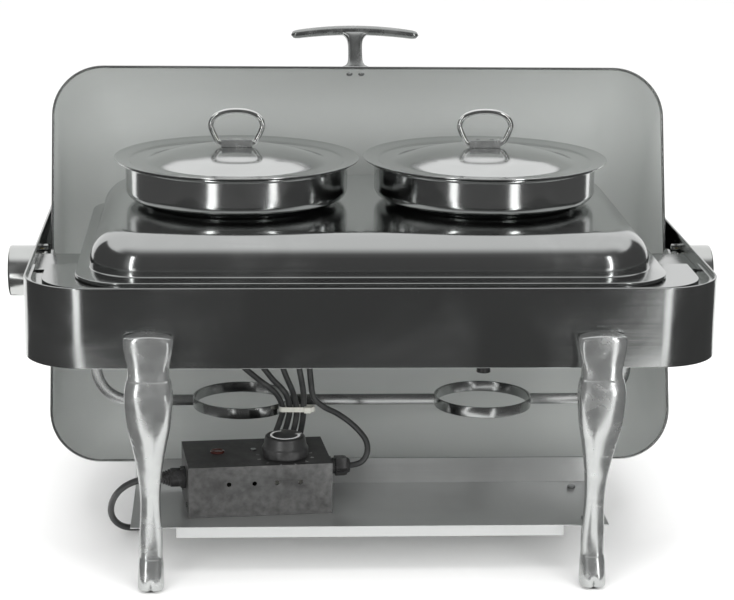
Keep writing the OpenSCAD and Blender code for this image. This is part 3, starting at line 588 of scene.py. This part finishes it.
# %% Knob, its print and the scale
box_turn, box_origin, box_h = np.radians(5.7), np.array([-110.5, -130.0, 48.9]), 51.0
knob_at, lamp_at = np.array([27.0, -16.0]), np.array([-38.0, 4.0])


def on_box(grid):
    """Turns points (in metres) by the box's angle about Z and moves them to the box."""
    x, y, z = np.moveaxis(grid, -1, 0)
    c, s = np.cos(box_turn), np.sin(box_turn)
    return np.stack([x * c - y * s, x * s + y * c, z], axis=-1) + MM * box_origin


def flat_marks(starts, ends, half_widths, base, thick):
    """Flat bars lying on a surface, one for each start and end: four corners below, the same four above."""
    starts, ends = np.asarray(starts, float), np.asarray(ends, float)
    side = (ends - starts) / np.linalg.norm(ends - starts, axis=1)[:, None]
    side = np.stack([-side[:, 1], side[:, 0]], axis=1) * np.asarray(half_widths, float)[:, None]
    corners = np.stack([starts - side, ends - side, ends + side, starts + side], axis=1)
    low = np.concatenate([corners, np.full(corners.shape[:2] + (1,), base)], axis=2)
    return [shell(on_box(MM * np.stack([bar, bar + [0, 0, thick]])), ends=True) for bar in low]


knob_profile = eased([[0, 2], [18, 2], [19, 0], [22, 0], [23, 1.5], [23, 9], [21.4, 11], [19.6, 20],
                      [18, 21], [0, 21]],
                     [0, 0.5, 0.5, 0.8, 1, 0.8, 1.2, 1, 1, 0])
shaft_profile = [[0, -22], [3, -22], [3, 3], [0, 3]]
knob_spot = (knob_at[0], knob_at[1], box_h + 1)
knob_shells = [shell(on_box(lathe(knob_profile, knob_spot, 96))),
               shell(on_box(lathe(eased(shaft_profile, [0, .3, .3, 0]), knob_spot, 32)))]
knob = piece("thermostat_knob", knob_shells, "knob", ["knob"])
sweep_turn = np.radians(np.linspace(98, 372, 120))
share = np.linspace(0, 1, 120)
half_width = 0.9 + 0.5 * share + 1.9 * np.clip((share - 0.955) / 0.045, 0, 1)
section_r = np.stack([13.8 - half_width, 13.8 + half_width, 13.8 + half_width, 13.8 - half_width], axis=1)
section_z = np.array([20.9, 20.9, 21.08, 21.08]) + box_h + 1
arc_grid = np.stack([knob_at[0] + section_r * np.cos(sweep_turn)[:, None],
                     knob_at[1] + section_r * np.sin(sweep_turn)[:, None],
                     np.broadcast_to(section_z, section_r.shape)], axis=-1)
knob_print = piece("knob_arc", [shell(on_box(MM * arc_grid), ends=True)], "knob")
mark_turn = np.radians(np.arange(-135, 136, 30) - 90)
rays = np.stack([np.cos(mark_turn), np.sin(mark_turn)], axis=1)
scale_marks = piece("scale_marks", flat_marks(knob_at + 25.6 * rays, knob_at + 28.8 * rays,
                                              np.linspace(0.35, 0.9, 10), box_h, 0.12), "root")
lamp_profile = eased([[0, -20], [5.8, -20], [5.8, 0], [7.2, 0], [7.2, 1.5], [6.2, 2.2], [5.0, 2.2],
                      [4.7, 1.2], [0, 1.7]],
                     [0, .3, .1, .4, .5, .4, .3, .3, 0])
lamp = piece("heat_lamp", [shell(on_box(lathe(lamp_profile, (lamp_at[0], lamp_at[1], box_h), 48)))], "root",
             ["pilot_lamp"])
print("knob, arc, scale and lamp made")

# %% [markdown]
# A cord gland is a hexagonal body and a nut that clamps the cord. On the mains side the nut runs out in a
# long ribbed taper, the strain relief, which keeps the cord from folding at the edge.

# %% Strain relief, plug and tie
def hexagon(profile, centre):
    """A six-sided prism with broken edges: a profile of (radius, distance) points spun in six steps about
    X."""
    return lathe(profile, centre, 6, "x")


reach = np.linspace(14, 25, 45)
ribs = 9.3 - 0.42 * (reach - 14) + 0.45 * np.sin(2 * np.pi * (reach - 14) / 2.4) * (reach < 24)
boot = np.vstack([[[3.0, -4], [6.9, -4], [6.9, 0.2], [9.4, 0.3], [9.4, 13.6]],
                  np.stack([ribs, reach], axis=1), [[3.28, 25]]])
mains_gland = piece("mains_gland_boot", [
    shell(on_box(hexagon(np.array([[6, 0], [10.4, 0], [11, 0.6], [11, 4.6], [10.4, 5.2],
                                   [6, 5.2]]) * [1, -1], (-70.5, -6, 30))), ends=True),
    shell(on_box(lathe(boot * [1, -1], (-70.5, -6, 30), 48, "x")), ends=True)], "root", ["mains_gland"])
lead_gland = piece("lead_gland_nut", [
    shell(on_box(hexagon([[6, 0], [9.4, 0], [10, 0.6], [10, 5.4], [9.4, 6], [6, 6]], (70.5, 6, 32))),
          ends=True),
    shell(on_box(lathe(eased([[3.0, -4], [6.9, -4], [6.9, 6], [8, 6], [8, 9.5], [3.0, 9.5]], 0.3),
                       (70.5, 6, 32), 40, "x")), ends=True),
    shell(on_box(hexagon([[6, 9], [9.7, 9], [10.4, 9.8], [10.4, 18], [9.6, 21], [6, 21]], (70.5, 6, 32))),
          ends=True),
    shell(on_box(lathe(eased([[3.0, 20.5], [8.6, 20.5], [7.0, 24.3], [3.0, 24.5]], 0.8), (70.5, 6, 32), 40,
                       "x")), ends=True)],
    "root", ["lead_gland"])
plug_x, plug_y = coil_centre[0] + 30, coil_centre[1] - outer_turn
sleeve_at = np.linspace(0, 20, 60)
sleeve_r = 4.1 + 0.065 * sleeve_at + 0.4 * np.sin(2 * np.pi * sleeve_at
                                                  / 3) * (sleeve_at > 1.5) * (sleeve_at < 18)
sleeve = lathe(np.stack([sleeve_r, sleeve_at], axis=1), (plug_x, plug_y, high_z), 40, "x")
body_at = eased([[18, 7, 5], [19.5, 11, 9], [27, 16, 13], [47, 16, 13], [52, 14.5, 11.5]], [0, 2, 6, 4, 0],
                5)
turn = np.linspace(0, 2 * np.pi, 48, endpoint=False)
c, s = np.cos(turn), np.sin(turn)
x, wide, high = body_at.T[:, :, None]
plug_body = MM * np.stack([plug_x + x + 0 * c, plug_y + wide * np.sign(c) * np.abs(c) ** 0.5,
                           13 + high * np.sign(s) * np.abs(s) ** 0.5 + 0 * c], axis=-1)
pin = eased([[0, 50], [2.4, 50], [2.4, 68.6], [1.5, 70], [0, 70]], [0, .2, .6, .6, 0])
plug = piece("mains_plug_body", [shell(sleeve, ends=True), shell(plug_body, ends=True)], "root",
             ["mains_plug"])
pins = piece("mains_plug_pins", [shell(lathe(pin, (plug_x, plug_y + y, 13), 24, "x")) for y in (-9.5, 9.5)],
             "root")
tie_turn = np.linspace(0, 2 * np.pi, 64, endpoint=False)
tie_loop = np.stack([-68.5 + np.clip(30 * np.cos(tie_turn), -12.9, 12.9) + 4.9 * np.cos(tie_turn),
                     -77 + 4.9 * np.sin(tie_turn)], axis=1)
normal = np.stack([np.cos(tie_turn), np.sin(tie_turn)], axis=1)
tie_section = np.array([[-0.6, 126.5], [0.6, 126.5], [0.75, 129], [0.6, 131.5], [-0.6, 131.5], [-0.75, 129]])
tie_grid = np.concatenate([tie_loop[:, None] + tie_section[None, :, :1] * normal[:, None],
                           np.broadcast_to(tie_section[None, :, 1:], (64, 6, 1))], axis=2)
tie_lock = framed(eased([[3.4, 1.2, 1, 125.6], [3.6, 3.4, 1, 126.2], [3.6, 3.4, 1, 131.8],
                         [3.4, 1.2, 1, 132.4]], [0, .5, .5, 0]), steps=4)
tie = piece("lead_tie", [shell(MM * tie_grid, along=True),
                         shell(tie_lock + MM * np.array([-58.0, -82.4, 0.0]), ends=True)], "root",
            ["cable_tie"])
print("glands, plug and tie made")

# %% [markdown]
# The rest of the visible CAD parts are the right shape but have knife edges. A copy of each is merged and
# its flat faces joined, and a Bevel modifier rounds the corners by the amount that folding, cutting or
# moulding leaves. The copy stands for the CAD part, which itself is never changed.

# %% Softened copies of folded, cut and moulded parts
def softened(node, width, segments=2):
    """A copy of a CAD part with its loose triangles merged, its flat faces joined and its edges rounded."""
    made = bmesh.new()
    made.from_mesh(nodes[node].data)
    bmesh.ops.remove_doubles(made, verts=made.verts, dist=5e-6)
    bmesh.ops.dissolve_limit(made, angle_limit=np.radians(0.6), verts=made.verts, edges=made.edges)
    mesh = bpy.data.meshes.new(node + "_soft")
    made.to_mesh(mesh)
    made.free()
    mesh.shade_smooth()
    mesh.set_sharp_from_angle(angle=np.radians(32))
    copy = bpy.data.objects.new(node + "_soft", mesh)
    bpy.context.scene.collection.objects.link(copy)
    bevel = copy.modifiers.new("edges", "BEVEL")
    bevel.width, bevel.segments = width * MM, segments
    bevel.limit_method, bevel.angle_limit = "ANGLE", np.radians(32)
    bevel.harden_normals = True
    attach(copy, nodes[node]["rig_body"])
    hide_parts(node)
    return copy


soft = {}
for slot_name, width, names in (
        ("satin_steel", 0.35, ["ledge", "shelf", "pan_supports", "stretcher_left", "stretcher_right",
                               "hinge_arm_left",
                               "hinge_arm_right", "frame_bolts", "box_screws", "arm_rivets",
                               "hinge_spindles"]),
        ("cast_steel", 1.1, ["handle_clamp_left", "handle_clamp_right"]),
        ("black_paint", 1.0, ["control_box_cover"]),
        ("rubber", 0.5, ["foot_pads", "coil_tie"]),
        ("dark_plastic", 0.6, ["drain_stub"]),
        ("heater_iron", 0.5, ["heater_covers"])):
    for name in names:
        soft[name] = softened(name, width)
print(len(soft), "softened copies")

# %% [markdown]
# The finishes share a few effects: brushed grain, spun rings, cloudy marks from wiping, worn edges and a
# moulded skin. Each is a node group built once, which puts out heights or masks only; the shader stays in
# the material.

# %% Shared effects
def add(tree, kind, values, **settings):
    """Adds a node; a value that is a socket is linked, and any other value is set."""
    made = tree.nodes.new(kind)
    for key, value in settings.items():
        setattr(made, key, value)
    for key, value in values.items():
        if isinstance(value, bpy.types.NodeSocket):
            tree.links.new(value, made.inputs[key])
        else:
            made.inputs[key].default_value = value
    return made


def effect(name, inputs, output):
    """An empty node group with named inputs and one named output."""
    tree = bpy.data.node_groups.new(name, "ShaderNodeTree")
    for label, kind, value in inputs:
        socket = tree.interface.new_socket(label, in_out="INPUT", socket_type=kind)
        if value is not None:
            socket.default_value = value
    tree.interface.new_socket(output, in_out="OUTPUT", socket_type="NodeSocketFloat")
    return tree, tree.nodes.new("NodeGroupInput").outputs, tree.nodes.new("NodeGroupOutput").inputs


VECTOR, FLOAT = "NodeSocketVector", "NodeSocketFloat"
grain, ins, outs = effect("brushed grain", [("Place", VECTOR, None), ("Stretch", VECTOR, (8, 8, 900))],
                          "Height")
stretched = add(grain, "ShaderNodeVectorMath", {0: ins["Place"], 1: ins["Stretch"]}, operation="MULTIPLY")
grain.links.new(add(grain, "ShaderNodeTexNoise", {"Vector": stretched.outputs[0], "Scale": 1.0,
                                                  "Detail": 3.0}).outputs[0], outs["Height"])

spun, ins, outs = effect("spun rings", [("Place", VECTOR, None), ("Fineness", FLOAT, 900.0)], "Height")
flat = add(spun, "ShaderNodeVectorMath", {0: ins["Place"], 1: (1, 1, 0)}, operation="MULTIPLY")
radius = add(spun, "ShaderNodeVectorMath", {0: flat.outputs[0]}, operation="LENGTH")
rise = add(spun, "ShaderNodeSeparateXYZ", {0: ins["Place"]})
reach_node = add(spun, "ShaderNodeMath", {0: radius.outputs["Value"], 1: rise.outputs["Z"]}, operation="ADD")
wave = add(spun, "ShaderNodeMath", {0: reach_node.outputs[0], 1: ins["Fineness"]}, operation="MULTIPLY")
spun.links.new(add(spun, "ShaderNodeTexNoise", {"W": wave.outputs[0], "Scale": 1.0, "Detail": 3.0},
                   noise_dimensions="1D").outputs[0], outs["Height"])

cloudy, ins, outs = effect("cloudy marks", [("Place", VECTOR, None), ("Scale", FLOAT, 9.0),
                                            ("From", FLOAT, 0.45), ("To", FLOAT, 0.75)], "Mask")
cloud = add(cloudy, "ShaderNodeTexNoise", {"Vector": ins["Place"], "Scale": ins["Scale"], "Detail": 5.0,
                                           "Roughness": 0.6, "Distortion": 0.6})
cloudy.links.new(add(cloudy, "ShaderNodeMapRange",
                     {"Value": cloud.outputs[0], "From Min": ins["From"], "From Max": ins["To"]},
                     interpolation_type="SMOOTHSTEP").outputs[0], outs["Mask"])

worn, ins, outs = effect("worn edges", [("Place", VECTOR, None), ("Start", FLOAT, 0.53)], "Mask")
pointed = add(worn, "ShaderNodeNewGeometry", {})
broken = add(worn, "ShaderNodeTexNoise", {"Vector": ins["Place"], "Scale": 160.0, "Detail": 4.0})
edge = add(worn, "ShaderNodeMapRange", {"Value": pointed.outputs["Pointiness"], "From Min": ins["Start"],
                                        "From Max": 0.62})
worn.links.new(add(worn, "ShaderNodeMath", {0: edge.outputs[0], 1: broken.outputs[0]},
                   operation="MULTIPLY").outputs[0], outs["Mask"])

moulded, ins, outs = effect("moulded skin", [("Place", VECTOR, None), ("Scale", FLOAT, 900.0)], "Height")
pebbles = add(moulded, "ShaderNodeTexVoronoi", {"Vector": ins["Place"], "Scale": ins["Scale"]},
              feature="SMOOTH_F1")
moulded.links.new(pebbles.outputs["Distance"], outs["Height"])
print("effects:", [tree.name for tree in (grain, spun, cloudy, worn, moulded)])


# %% [markdown]
# A finish is one Principled shader. Its fixed values are set on its own sockets; its colour and roughness
# move between two values by a mask, and a Bump node turns a height into fine relief.

# %% The common frame of a finish
def finish(name, metallic, coat=0.0, ior=1.5):
    """A material with a Principled shader and the piece's own coordinates."""
    material = bpy.data.materials.new(name)
    material.use_nodes = True
    tree = material.node_tree
    shader = tree.nodes["Principled BSDF"]
    shader.inputs["Metallic"].default_value = metallic
    shader.inputs["Coat Weight"].default_value = coat
    shader.inputs["IOR"].default_value = ior
    return material, tree, shader, tree.nodes.new("ShaderNodeTexCoord").outputs["Object"]


def use(tree, group_tree, values):
    """Places a shared effect in a material and returns its output."""
    made = tree.nodes.new("ShaderNodeGroup")
    made.node_tree = group_tree
    for key, value in values.items():
        if isinstance(value, bpy.types.NodeSocket):
            tree.links.new(value, made.inputs[key])
        else:
            made.inputs[key].default_value = value
    return made.outputs[0]


def vary(tree, shader, mask, colours, roughness):
    """Base Color and Roughness go from the first value to the second as the mask goes from 0 to 1."""
    mix = add(tree, "ShaderNodeMix", {0: mask, 6: (*colours[0], 1), 7: (*colours[1], 1)}, data_type="RGBA")
    tree.links.new(mix.outputs[2], shader.inputs["Base Color"])
    rough = add(tree, "ShaderNodeMapRange", {"Value": mask, "To Min": roughness[0], "To Max": roughness[1]})
    tree.links.new(rough.outputs[0], shader.inputs["Roughness"])
    return mix, rough


def relief(tree, shader, height, strength, distance):
    """Fine relief from a height, added to any relief that is there already."""
    bump = add(tree, "ShaderNodeBump", {"Height": height, "Strength": strength, "Distance": distance})
    if shader.inputs["Normal"].links:
        tree.links.new(shader.inputs["Normal"].links[0].from_socket, bump.inputs["Normal"])
    tree.links.new(bump.outputs[0], shader.inputs["Normal"])


def dress(material, *objects):
    """Gives the material to each piece or CAD part."""
    for one in objects:
        if one.material_slots:
            for place in one.material_slots:
                place.material = material
        else:
            one.data.materials.append(material)


print("finish helpers are ready")

# %% [markdown]
# Sheet steel is brushed along its length. The band, the folded parts and the roll-top differ in how fine and
# how deep the brushing is, and in how much wiping has clouded them. The faces of the roll-top that look
# inwards, towards the middle of the shell, get a paler, less metallic and softer copy of the same steel. The
# paler colour is painted light: it stands in for the light that falls into the open shell.

# %% Brushed steels
def brushed(name, stretch, colours, roughness, depth, cloud_scale, cloud=(0.42, 0.72), wobble=0.0,
            metallic=1.0):
    """Brushed sheet: grain relief, cloudy marks that dull it, and for large sheets a slow wobble of the
    surface."""
    material, tree, shader, place = finish(name, metallic)
    mask = use(tree, cloudy, {"Place": place, "Scale": cloud_scale, "From": cloud[0], "To": cloud[1]})
    height = use(tree, grain, {"Place": place, "Stretch": stretch})
    fine = add(tree, "ShaderNodeMath", {0: mask, 1: height}, operation="MULTIPLY")
    vary(tree, shader, fine.outputs[0], colours, roughness)
    if wobble:
        wave = add(tree, "ShaderNodeTexNoise", {"Vector": place, "Scale": 5.0, "Detail": 1.0})
        relief(tree, shader, wave.outputs[0], 1.0, wobble)
    relief(tree, shader, height, 0.5, depth)
    return material


band_steel = brushed("band steel", (10, 10, 1100), ((0.35, 0.36, 0.355), (0.47, 0.48, 0.475)), (0.14, 0.32),
                     0.00003, 7.0, wobble=0.0006)
sheet_steel = brushed("sheet steel", (14, 500, 500), ((0.40, 0.41, 0.405), (0.47, 0.48, 0.475)),
                      (0.17, 0.34), 0.00002, 12.0)
lid_steel = brushed("roll-top steel", (6, 420, 420), ((0.50, 0.51, 0.505), (0.58, 0.59, 0.585)),
                    (0.18, 0.34), 0.00002, 4.0, wobble=0.0006)
# Painted light: a paler, nearly non-metallic copy of the roll-top steel for the shell's inward faces,
# brightened to stand in for light on the open inside.
lid_inside_painted_light = brushed("roll-top inside painted light", (6, 420, 420), ((0.66, 0.68, 0.665), (0.72, 0.74, 0.725)),
                     (0.40, 0.48), 0.00002, 4.0,
                     wobble=0.0008, metallic=0.15)
shelf_steel = brushed("shelf steel", (14, 500, 500), ((0.50, 0.51, 0.505), (0.58, 0.59, 0.585)),
                      (0.28, 0.42), 0.00002, 12.0, metallic=0.8)
deck_steel = brushed("deck steel", (20, 300, 300), ((0.42, 0.43, 0.425), (0.52, 0.53, 0.525)), (0.14, 0.28),
                     0.000008, 9.0, wobble=0.0005)
hub_steel = brushed("hub steel", (900, 12, 12), ((0.58, 0.59, 0.58), (0.64, 0.65, 0.64)), (0.14, 0.3),
                    0.00001, 20.0)
dress(band_steel, frame_band)
dress(lid_steel, lid_shell, lid_hem)
lid_shell.data.materials.append(lid_inside_painted_light)
count = len(lid_shell.data.polygons)
centres, normals = np.empty(3 * count), np.empty(3 * count)
lid_shell.data.polygons.foreach_get("center", centres)
lid_shell.data.polygons.foreach_get("normal", normals)
centres, normals = centres.reshape(-1, 3), normals.reshape(-1, 3)
# Faces that look inwards take the paler copy of the steel, which is painted light.
inside = ((centres - centres.mean(axis=0)) * normals).sum(axis=1) < 0
lid_shell.data.polygons.foreach_set("material_index", inside.astype(np.int32))
print("roll-top inside painted light on", int(inside.sum()), "of", count, "faces")
dress(deck_steel, adaptor)
dress(hub_steel, *caps.values())
dress(shelf_steel, soft["shelf"])
dress(sheet_steel, water_pan, rack, *rings.values(), handle_screws,
      *[soft[n] for n in ("ledge", "pan_supports", "stretcher_left", "stretcher_right", "hinge_arm_left",
                          "hinge_arm_right", "frame_bolts", "box_screws", "arm_rivets", "hinge_spindles")])
print("brushed steels done")

# %% [markdown]
# The pans and their lids are spun and then polished, which leaves rings about their own centres. A Mapping
# node brings the centre of each pan to the origin before the ring pattern is worked out.

# %% Spun steels
for side, x in pan_places.items():
    material, tree, shader, place = finish("spun steel " + side, 1.0)
    centred = add(tree, "ShaderNodeMapping", {"Vector": place,
                                              "Location": (-x * MM, -pan_y * MM, 0)}).outputs[0]
    height = use(tree, spun, {"Place": centred, "Fineness": 1500.0})
    mask = use(tree, cloudy, {"Place": place, "Scale": 16.0, "From": 0.4, "To": 0.8})
    vary(tree, shader, add(tree, "ShaderNodeMath", {0: mask, 1: height}, operation="MULTIPLY").outputs[0],
         ((0.56, 0.57, 0.565), (0.64, 0.65, 0.645)), (0.13, 0.26))
    relief(tree, shader, height, 0.4, 0.00001)
    dress(material, pans[side], pan_lids[side])

material, tree, shader, place = finish("polished rod", 1.0)
vary(tree, shader, use(tree, cloudy, {"Place": place, "Scale": 60.0}),
     ((0.68, 0.69, 0.68), (0.74, 0.75, 0.74)), (0.05, 0.18))
relief(tree, shader, use(tree, grain, {"Place": place, "Stretch": (400, 400, 60)}), 0.3, 0.000006)
dress(material, *loop_handles.values(), pins)
print("spun and rod steels done")

# %% [markdown]
# The legs, the clamps and the roll-top's handle are cast and buffed: bright, but with a faint orange-peel
# skin and duller hollows where the buffing wheel did not reach.

# %% Cast steel
def cast(name, colours, roughness, peel, metallic=1.0):
    """Buffed casting: cloudy dulling and a soft uneven skin."""
    material, tree, shader, place = finish(name, metallic)
    vary(tree, shader, use(tree, cloudy, {"Place": place, "Scale": 45.0, "From": 0.35, "To": 0.75}),
         colours, roughness)
    skin = add(tree, "ShaderNodeTexNoise", {"Vector": place, "Scale": 220.0, "Detail": 2.0})
    relief(tree, shader, skin.outputs[0], peel, 0.0001)
    return material


leg_steel = cast("cast steel", ((0.42, 0.43, 0.425), (0.53, 0.54, 0.535)), (0.17, 0.32), 0.12, metallic=0.86)
handle_steel = cast("handle steel", ((0.34, 0.35, 0.345), (0.42, 0.43, 0.425)), (0.16, 0.34), 0.2)
dress(leg_steel, *legs, soft["handle_clamp_left"], soft["handle_clamp_right"])
dress(handle_steel, lid_handle)
print("cast steels done")

# %% [markdown]
# The box cover is painted satin black, scuffed grey by wiping and rubbed through at its edges. The cords
# are rubber with a faint bloom, and the knob, the glands and the plug are moulded.

# %% Paint, rubber and plastics
box_paint, tree, shader, place = finish("box paint", 0.0, ior=1.38)
mask = use(tree, cloudy, {"Place": place, "Scale": 30.0, "From": 0.35, "To": 0.85})
mix, rough = vary(tree, shader, mask, ((0.008, 0.008, 0.008), (0.026, 0.027, 0.027)), (0.34, 0.52))
edges = use(tree, worn, {"Place": place, "Start": 0.52})
rubbed = add(tree, "ShaderNodeMix", {0: edges, 6: mix.outputs[2], 7: (0.24, 0.24, 0.235, 1)},
             data_type="RGBA")
tree.links.new(rubbed.outputs[2], shader.inputs["Base Color"])
relief(tree, shader, use(tree, moulded, {"Place": place, "Scale": 1400.0}), 0.25, 0.00005)
dress(box_paint, soft["control_box_cover"], nodes["control_box_base"])


def plastic(name, colours, roughness, skin_scale, depth, mark_scale=40.0):
    """Moulded plastic or rubber: a pebbled skin, and patches of bloom or handling."""
    material, tree, shader, place = finish(name, 0.0)
    vary(tree, shader, use(tree, cloudy, {"Place": place, "Scale": mark_scale}), colours, roughness)
    relief(tree, shader, use(tree, moulded, {"Place": place, "Scale": skin_scale}), 0.35, depth)
    return material


rubber = plastic("cord rubber", ((0.022, 0.023, 0.023), (0.050, 0.051, 0.050)), (0.34, 0.55), 1500.0,
                 0.00004)
pad_rubber = plastic("pad rubber", ((0.03, 0.03, 0.03), (0.06, 0.06, 0.06)), (0.6, 0.8), 700.0, 0.0001)
knob_plastic = plastic("knob plastic", ((0.020, 0.020, 0.020), (0.040, 0.040, 0.040)), (0.28, 0.45), 1800.0,
                       0.00004)
gland_plastic = plastic("gland plastic", ((0.018, 0.018, 0.018), (0.035, 0.035, 0.035)), (0.22, 0.4),
                        1200.0, 0.00003)
pale_plastic = plastic("pale plastic", ((0.42, 0.42, 0.38), (0.52, 0.52, 0.47)), (0.35, 0.5), 1500.0,
                       0.00003)
print_white = plastic("print white", ((0.88, 0.88, 0.87), (0.93, 0.93, 0.92)), (0.4, 0.5), 2000.0, 0.00001)
scale_grey = plastic("scale print", ((0.20, 0.20, 0.20), (0.34, 0.34, 0.33)), (0.4, 0.5), 2000.0, 0.00001,
                     150.0)
dress(rubber, mains_cord, *leads)
dress(pad_rubber, soft["foot_pads"], soft["coil_tie"])
dress(knob_plastic, knob)
dress(gland_plastic, mains_gland, lead_gland, plug, soft["drain_stub"])
dress(pale_plastic, tie, nodes["thermostat"], nodes["terminal_block"], nodes["friction_washers"])
dress(print_white, knob_print)
dress(scale_grey, scale_marks)
print("paint, rubber and plastics done")

# %% [markdown]
# The last finishes are the ones that hide inside: a dark red lamp lens, brass bushes at the pivots, the
# iron of the heater plates and their dull covers.

# %% Lamp, brass and heaters
lens, tree, shader, place = finish("lamp lens", 0.0, coat=0.6)
vary(tree, shader, use(tree, cloudy, {"Place": place, "Scale": 120.0}),
     ((0.035, 0.008, 0.006), (0.07, 0.014, 0.01)), (0.12, 0.3))
relief(tree, shader, use(tree, moulded, {"Place": place, "Scale": 500.0}), 0.3, 0.0001)
dress(lens, lamp)
brass = cast("brass", ((0.62, 0.46, 0.18), (0.70, 0.54, 0.24)), (0.2, 0.4), 0.1)
iron = cast("heater iron", ((0.11, 0.11, 0.108), (0.17, 0.165, 0.16)), (0.45, 0.7), 0.5)
dress(brass, nodes["hinge_bushes"])
dress(iron, nodes["heater_plates"], soft["heater_covers"])
dress(sheet_steel, nodes["stop_pins"])
print("all finishes done")

# %% [markdown]

# %% [markdown]
# The floor is plain and pale. Polished metal shows what stands round it, so the studio is built for its
# reflections. The surround is white, but reflections see it darken towards the front and turn white again
# overhead. A dark curved screen with two slots stands in front, and only reflections see it. It gives the
# band and the pans their dark faces, and the two narrow lights behind its slots give them soft upright
# stripes. The ceiling light and the front light do not show in the metal.

# %% Floor, screen and light
floor = bpy.data.objects.new("floor", bpy.data.meshes.new("floor"))
floor.data.from_pydata([(-14, -14, 0), (14, -14, 0), (14, 14, 0), (-14, 14, 0)], [], [(0, 1, 2, 3)])
bpy.context.scene.collection.objects.link(floor)
paper, tree, shader, place = finish("floor paper", 0.0)
vary(tree, shader, use(tree, cloudy, {"Place": place, "Scale": 2.0}),
     ((0.93, 0.93, 0.925), (0.95, 0.95, 0.945)), (0.7, 0.8))
dress(paper, floor)


def screen(name, start, end, profile, shade):
    """A profile of (radius, height) pairs swept about the origin from one compass angle to another, 0 being
    in front."""
    turn = np.radians(np.linspace(start, end, 24))
    radius, height = np.array(profile).T[:, :, None]
    grid = np.stack([radius * np.sin(turn), -radius * np.cos(turn), height + 0 * turn], axis=-1)
    index = np.arange(24 * len(profile)).reshape(-1, 24)
    quads = np.stack([index[:-1, :-1], index[:-1, 1:], index[1:, 1:], index[1:, :-1]],
                     axis=-1).reshape(-1, 4)
    made = bpy.data.objects.new(name, bpy.data.meshes.new(name))
    made.data.from_pydata(grid.reshape(-1, 3).tolist(), [], quads.tolist())
    bpy.context.scene.collection.objects.link(made)
    material = bpy.data.materials.new(name)
    material.use_nodes = True
    material.node_tree.nodes.clear()
    glow = add(material.node_tree, "ShaderNodeEmission",
               {"Color": (shade, shade, shade, 1), "Strength": 1.0})
    target = add(material.node_tree, "ShaderNodeOutputMaterial", {})
    material.node_tree.links.new(glow.outputs[0], target.inputs["Surface"])
    dress(material, made)
    made.visible_camera = made.visible_diffuse = made.visible_shadow = False
    return made


for k, (start, end) in enumerate(((-118, -34), (-26, 26), (34, 118))):
    screen("dark_screen_" + str(k), start, end, ((0.42, 0.002), (1.05, 0.002), (1.05, 0.95)), 0.09)


def look(place, target):
    """The turn that points local -Z from place to target, with local Y as near upright as it can be."""
    back = np.array(place, float) - np.array(target, float)
    back /= np.linalg.norm(back)
    side = np.cross([0, 0, 1], back) if abs(back[2]) < 0.99 else np.array([1.0, 0, 0])
    side /= np.linalg.norm(side)
    return Matrix(np.stack([side, np.cross(back, side), back], axis=1).tolist())


def softbox(name, place, target, size, power, mirrored=True):
    """A rectangular area light at place, facing target; polished metal shows it only when mirrored is
    true."""
    data = bpy.data.lights.new(name, "AREA")
    data.shape, data.size, data.size_y, data.energy = "RECTANGLE", size[0], size[1], power
    made = bpy.data.objects.new(name, data)
    made.matrix_world = Matrix.Translation(place) @ look(place, target).to_4x4()
    made.visible_glossy = mirrored
    bpy.context.scene.collection.objects.link(made)
    return made


softbox("ceiling", (0.0, -0.3, 2.6), (0, 0, 0.2), (2.6, 2.2), 45, mirrored=False)
softbox("front_fill", (0.0, -2.6, 0.8), (0, 0.1, 0.3), (2.4, 1.2), 38, mirrored=False)
softbox("left_box", (-1.35, -2.3, 1.0), (0, 0, 0.25), (0.35, 1.9), 14)
softbox("right_box", (1.35, -2.3, 1.0), (0, 0, 0.25), (0.35, 1.9), 14)
world = bpy.data.worlds.new("studio")
world.use_nodes = True
tree = world.node_tree
sky = tree.nodes["Background"]
direction = add(tree, "ShaderNodeSeparateXYZ",
                {0: tree.nodes.new("ShaderNodeTexCoord").outputs["Generated"]})
front = add(tree, "ShaderNodeMapRange", {"Value": direction.outputs["Y"], "From Min": -0.05,
                                         "From Max": -0.5}, interpolation_type="SMOOTHSTEP")
low = add(tree, "ShaderNodeMapRange", {"Value": direction.outputs["Z"], "From Min": 1.0, "From Max": 0.7},
          interpolation_type="SMOOTHSTEP")
shade = add(tree, "ShaderNodeMath", {0: front.outputs[0], 1: low.outputs[0]}, operation="MULTIPLY")
mirrored = tree.nodes.new("ShaderNodeLightPath").outputs["Is Glossy Ray"]
shade = add(tree, "ShaderNodeMath", {0: shade.outputs[0], 1: mirrored}, operation="MULTIPLY")
colour = add(tree, "ShaderNodeMix", {0: shade.outputs[0], 6: (1, 1, 1, 1), 7: (0.12, 0.12, 0.12, 1)},
             data_type="RGBA")
tree.links.new(colour.outputs[2], sky.inputs["Color"])
sky.inputs["Strength"].default_value = 1.05
bpy.context.scene.world = world
print("studio lit")
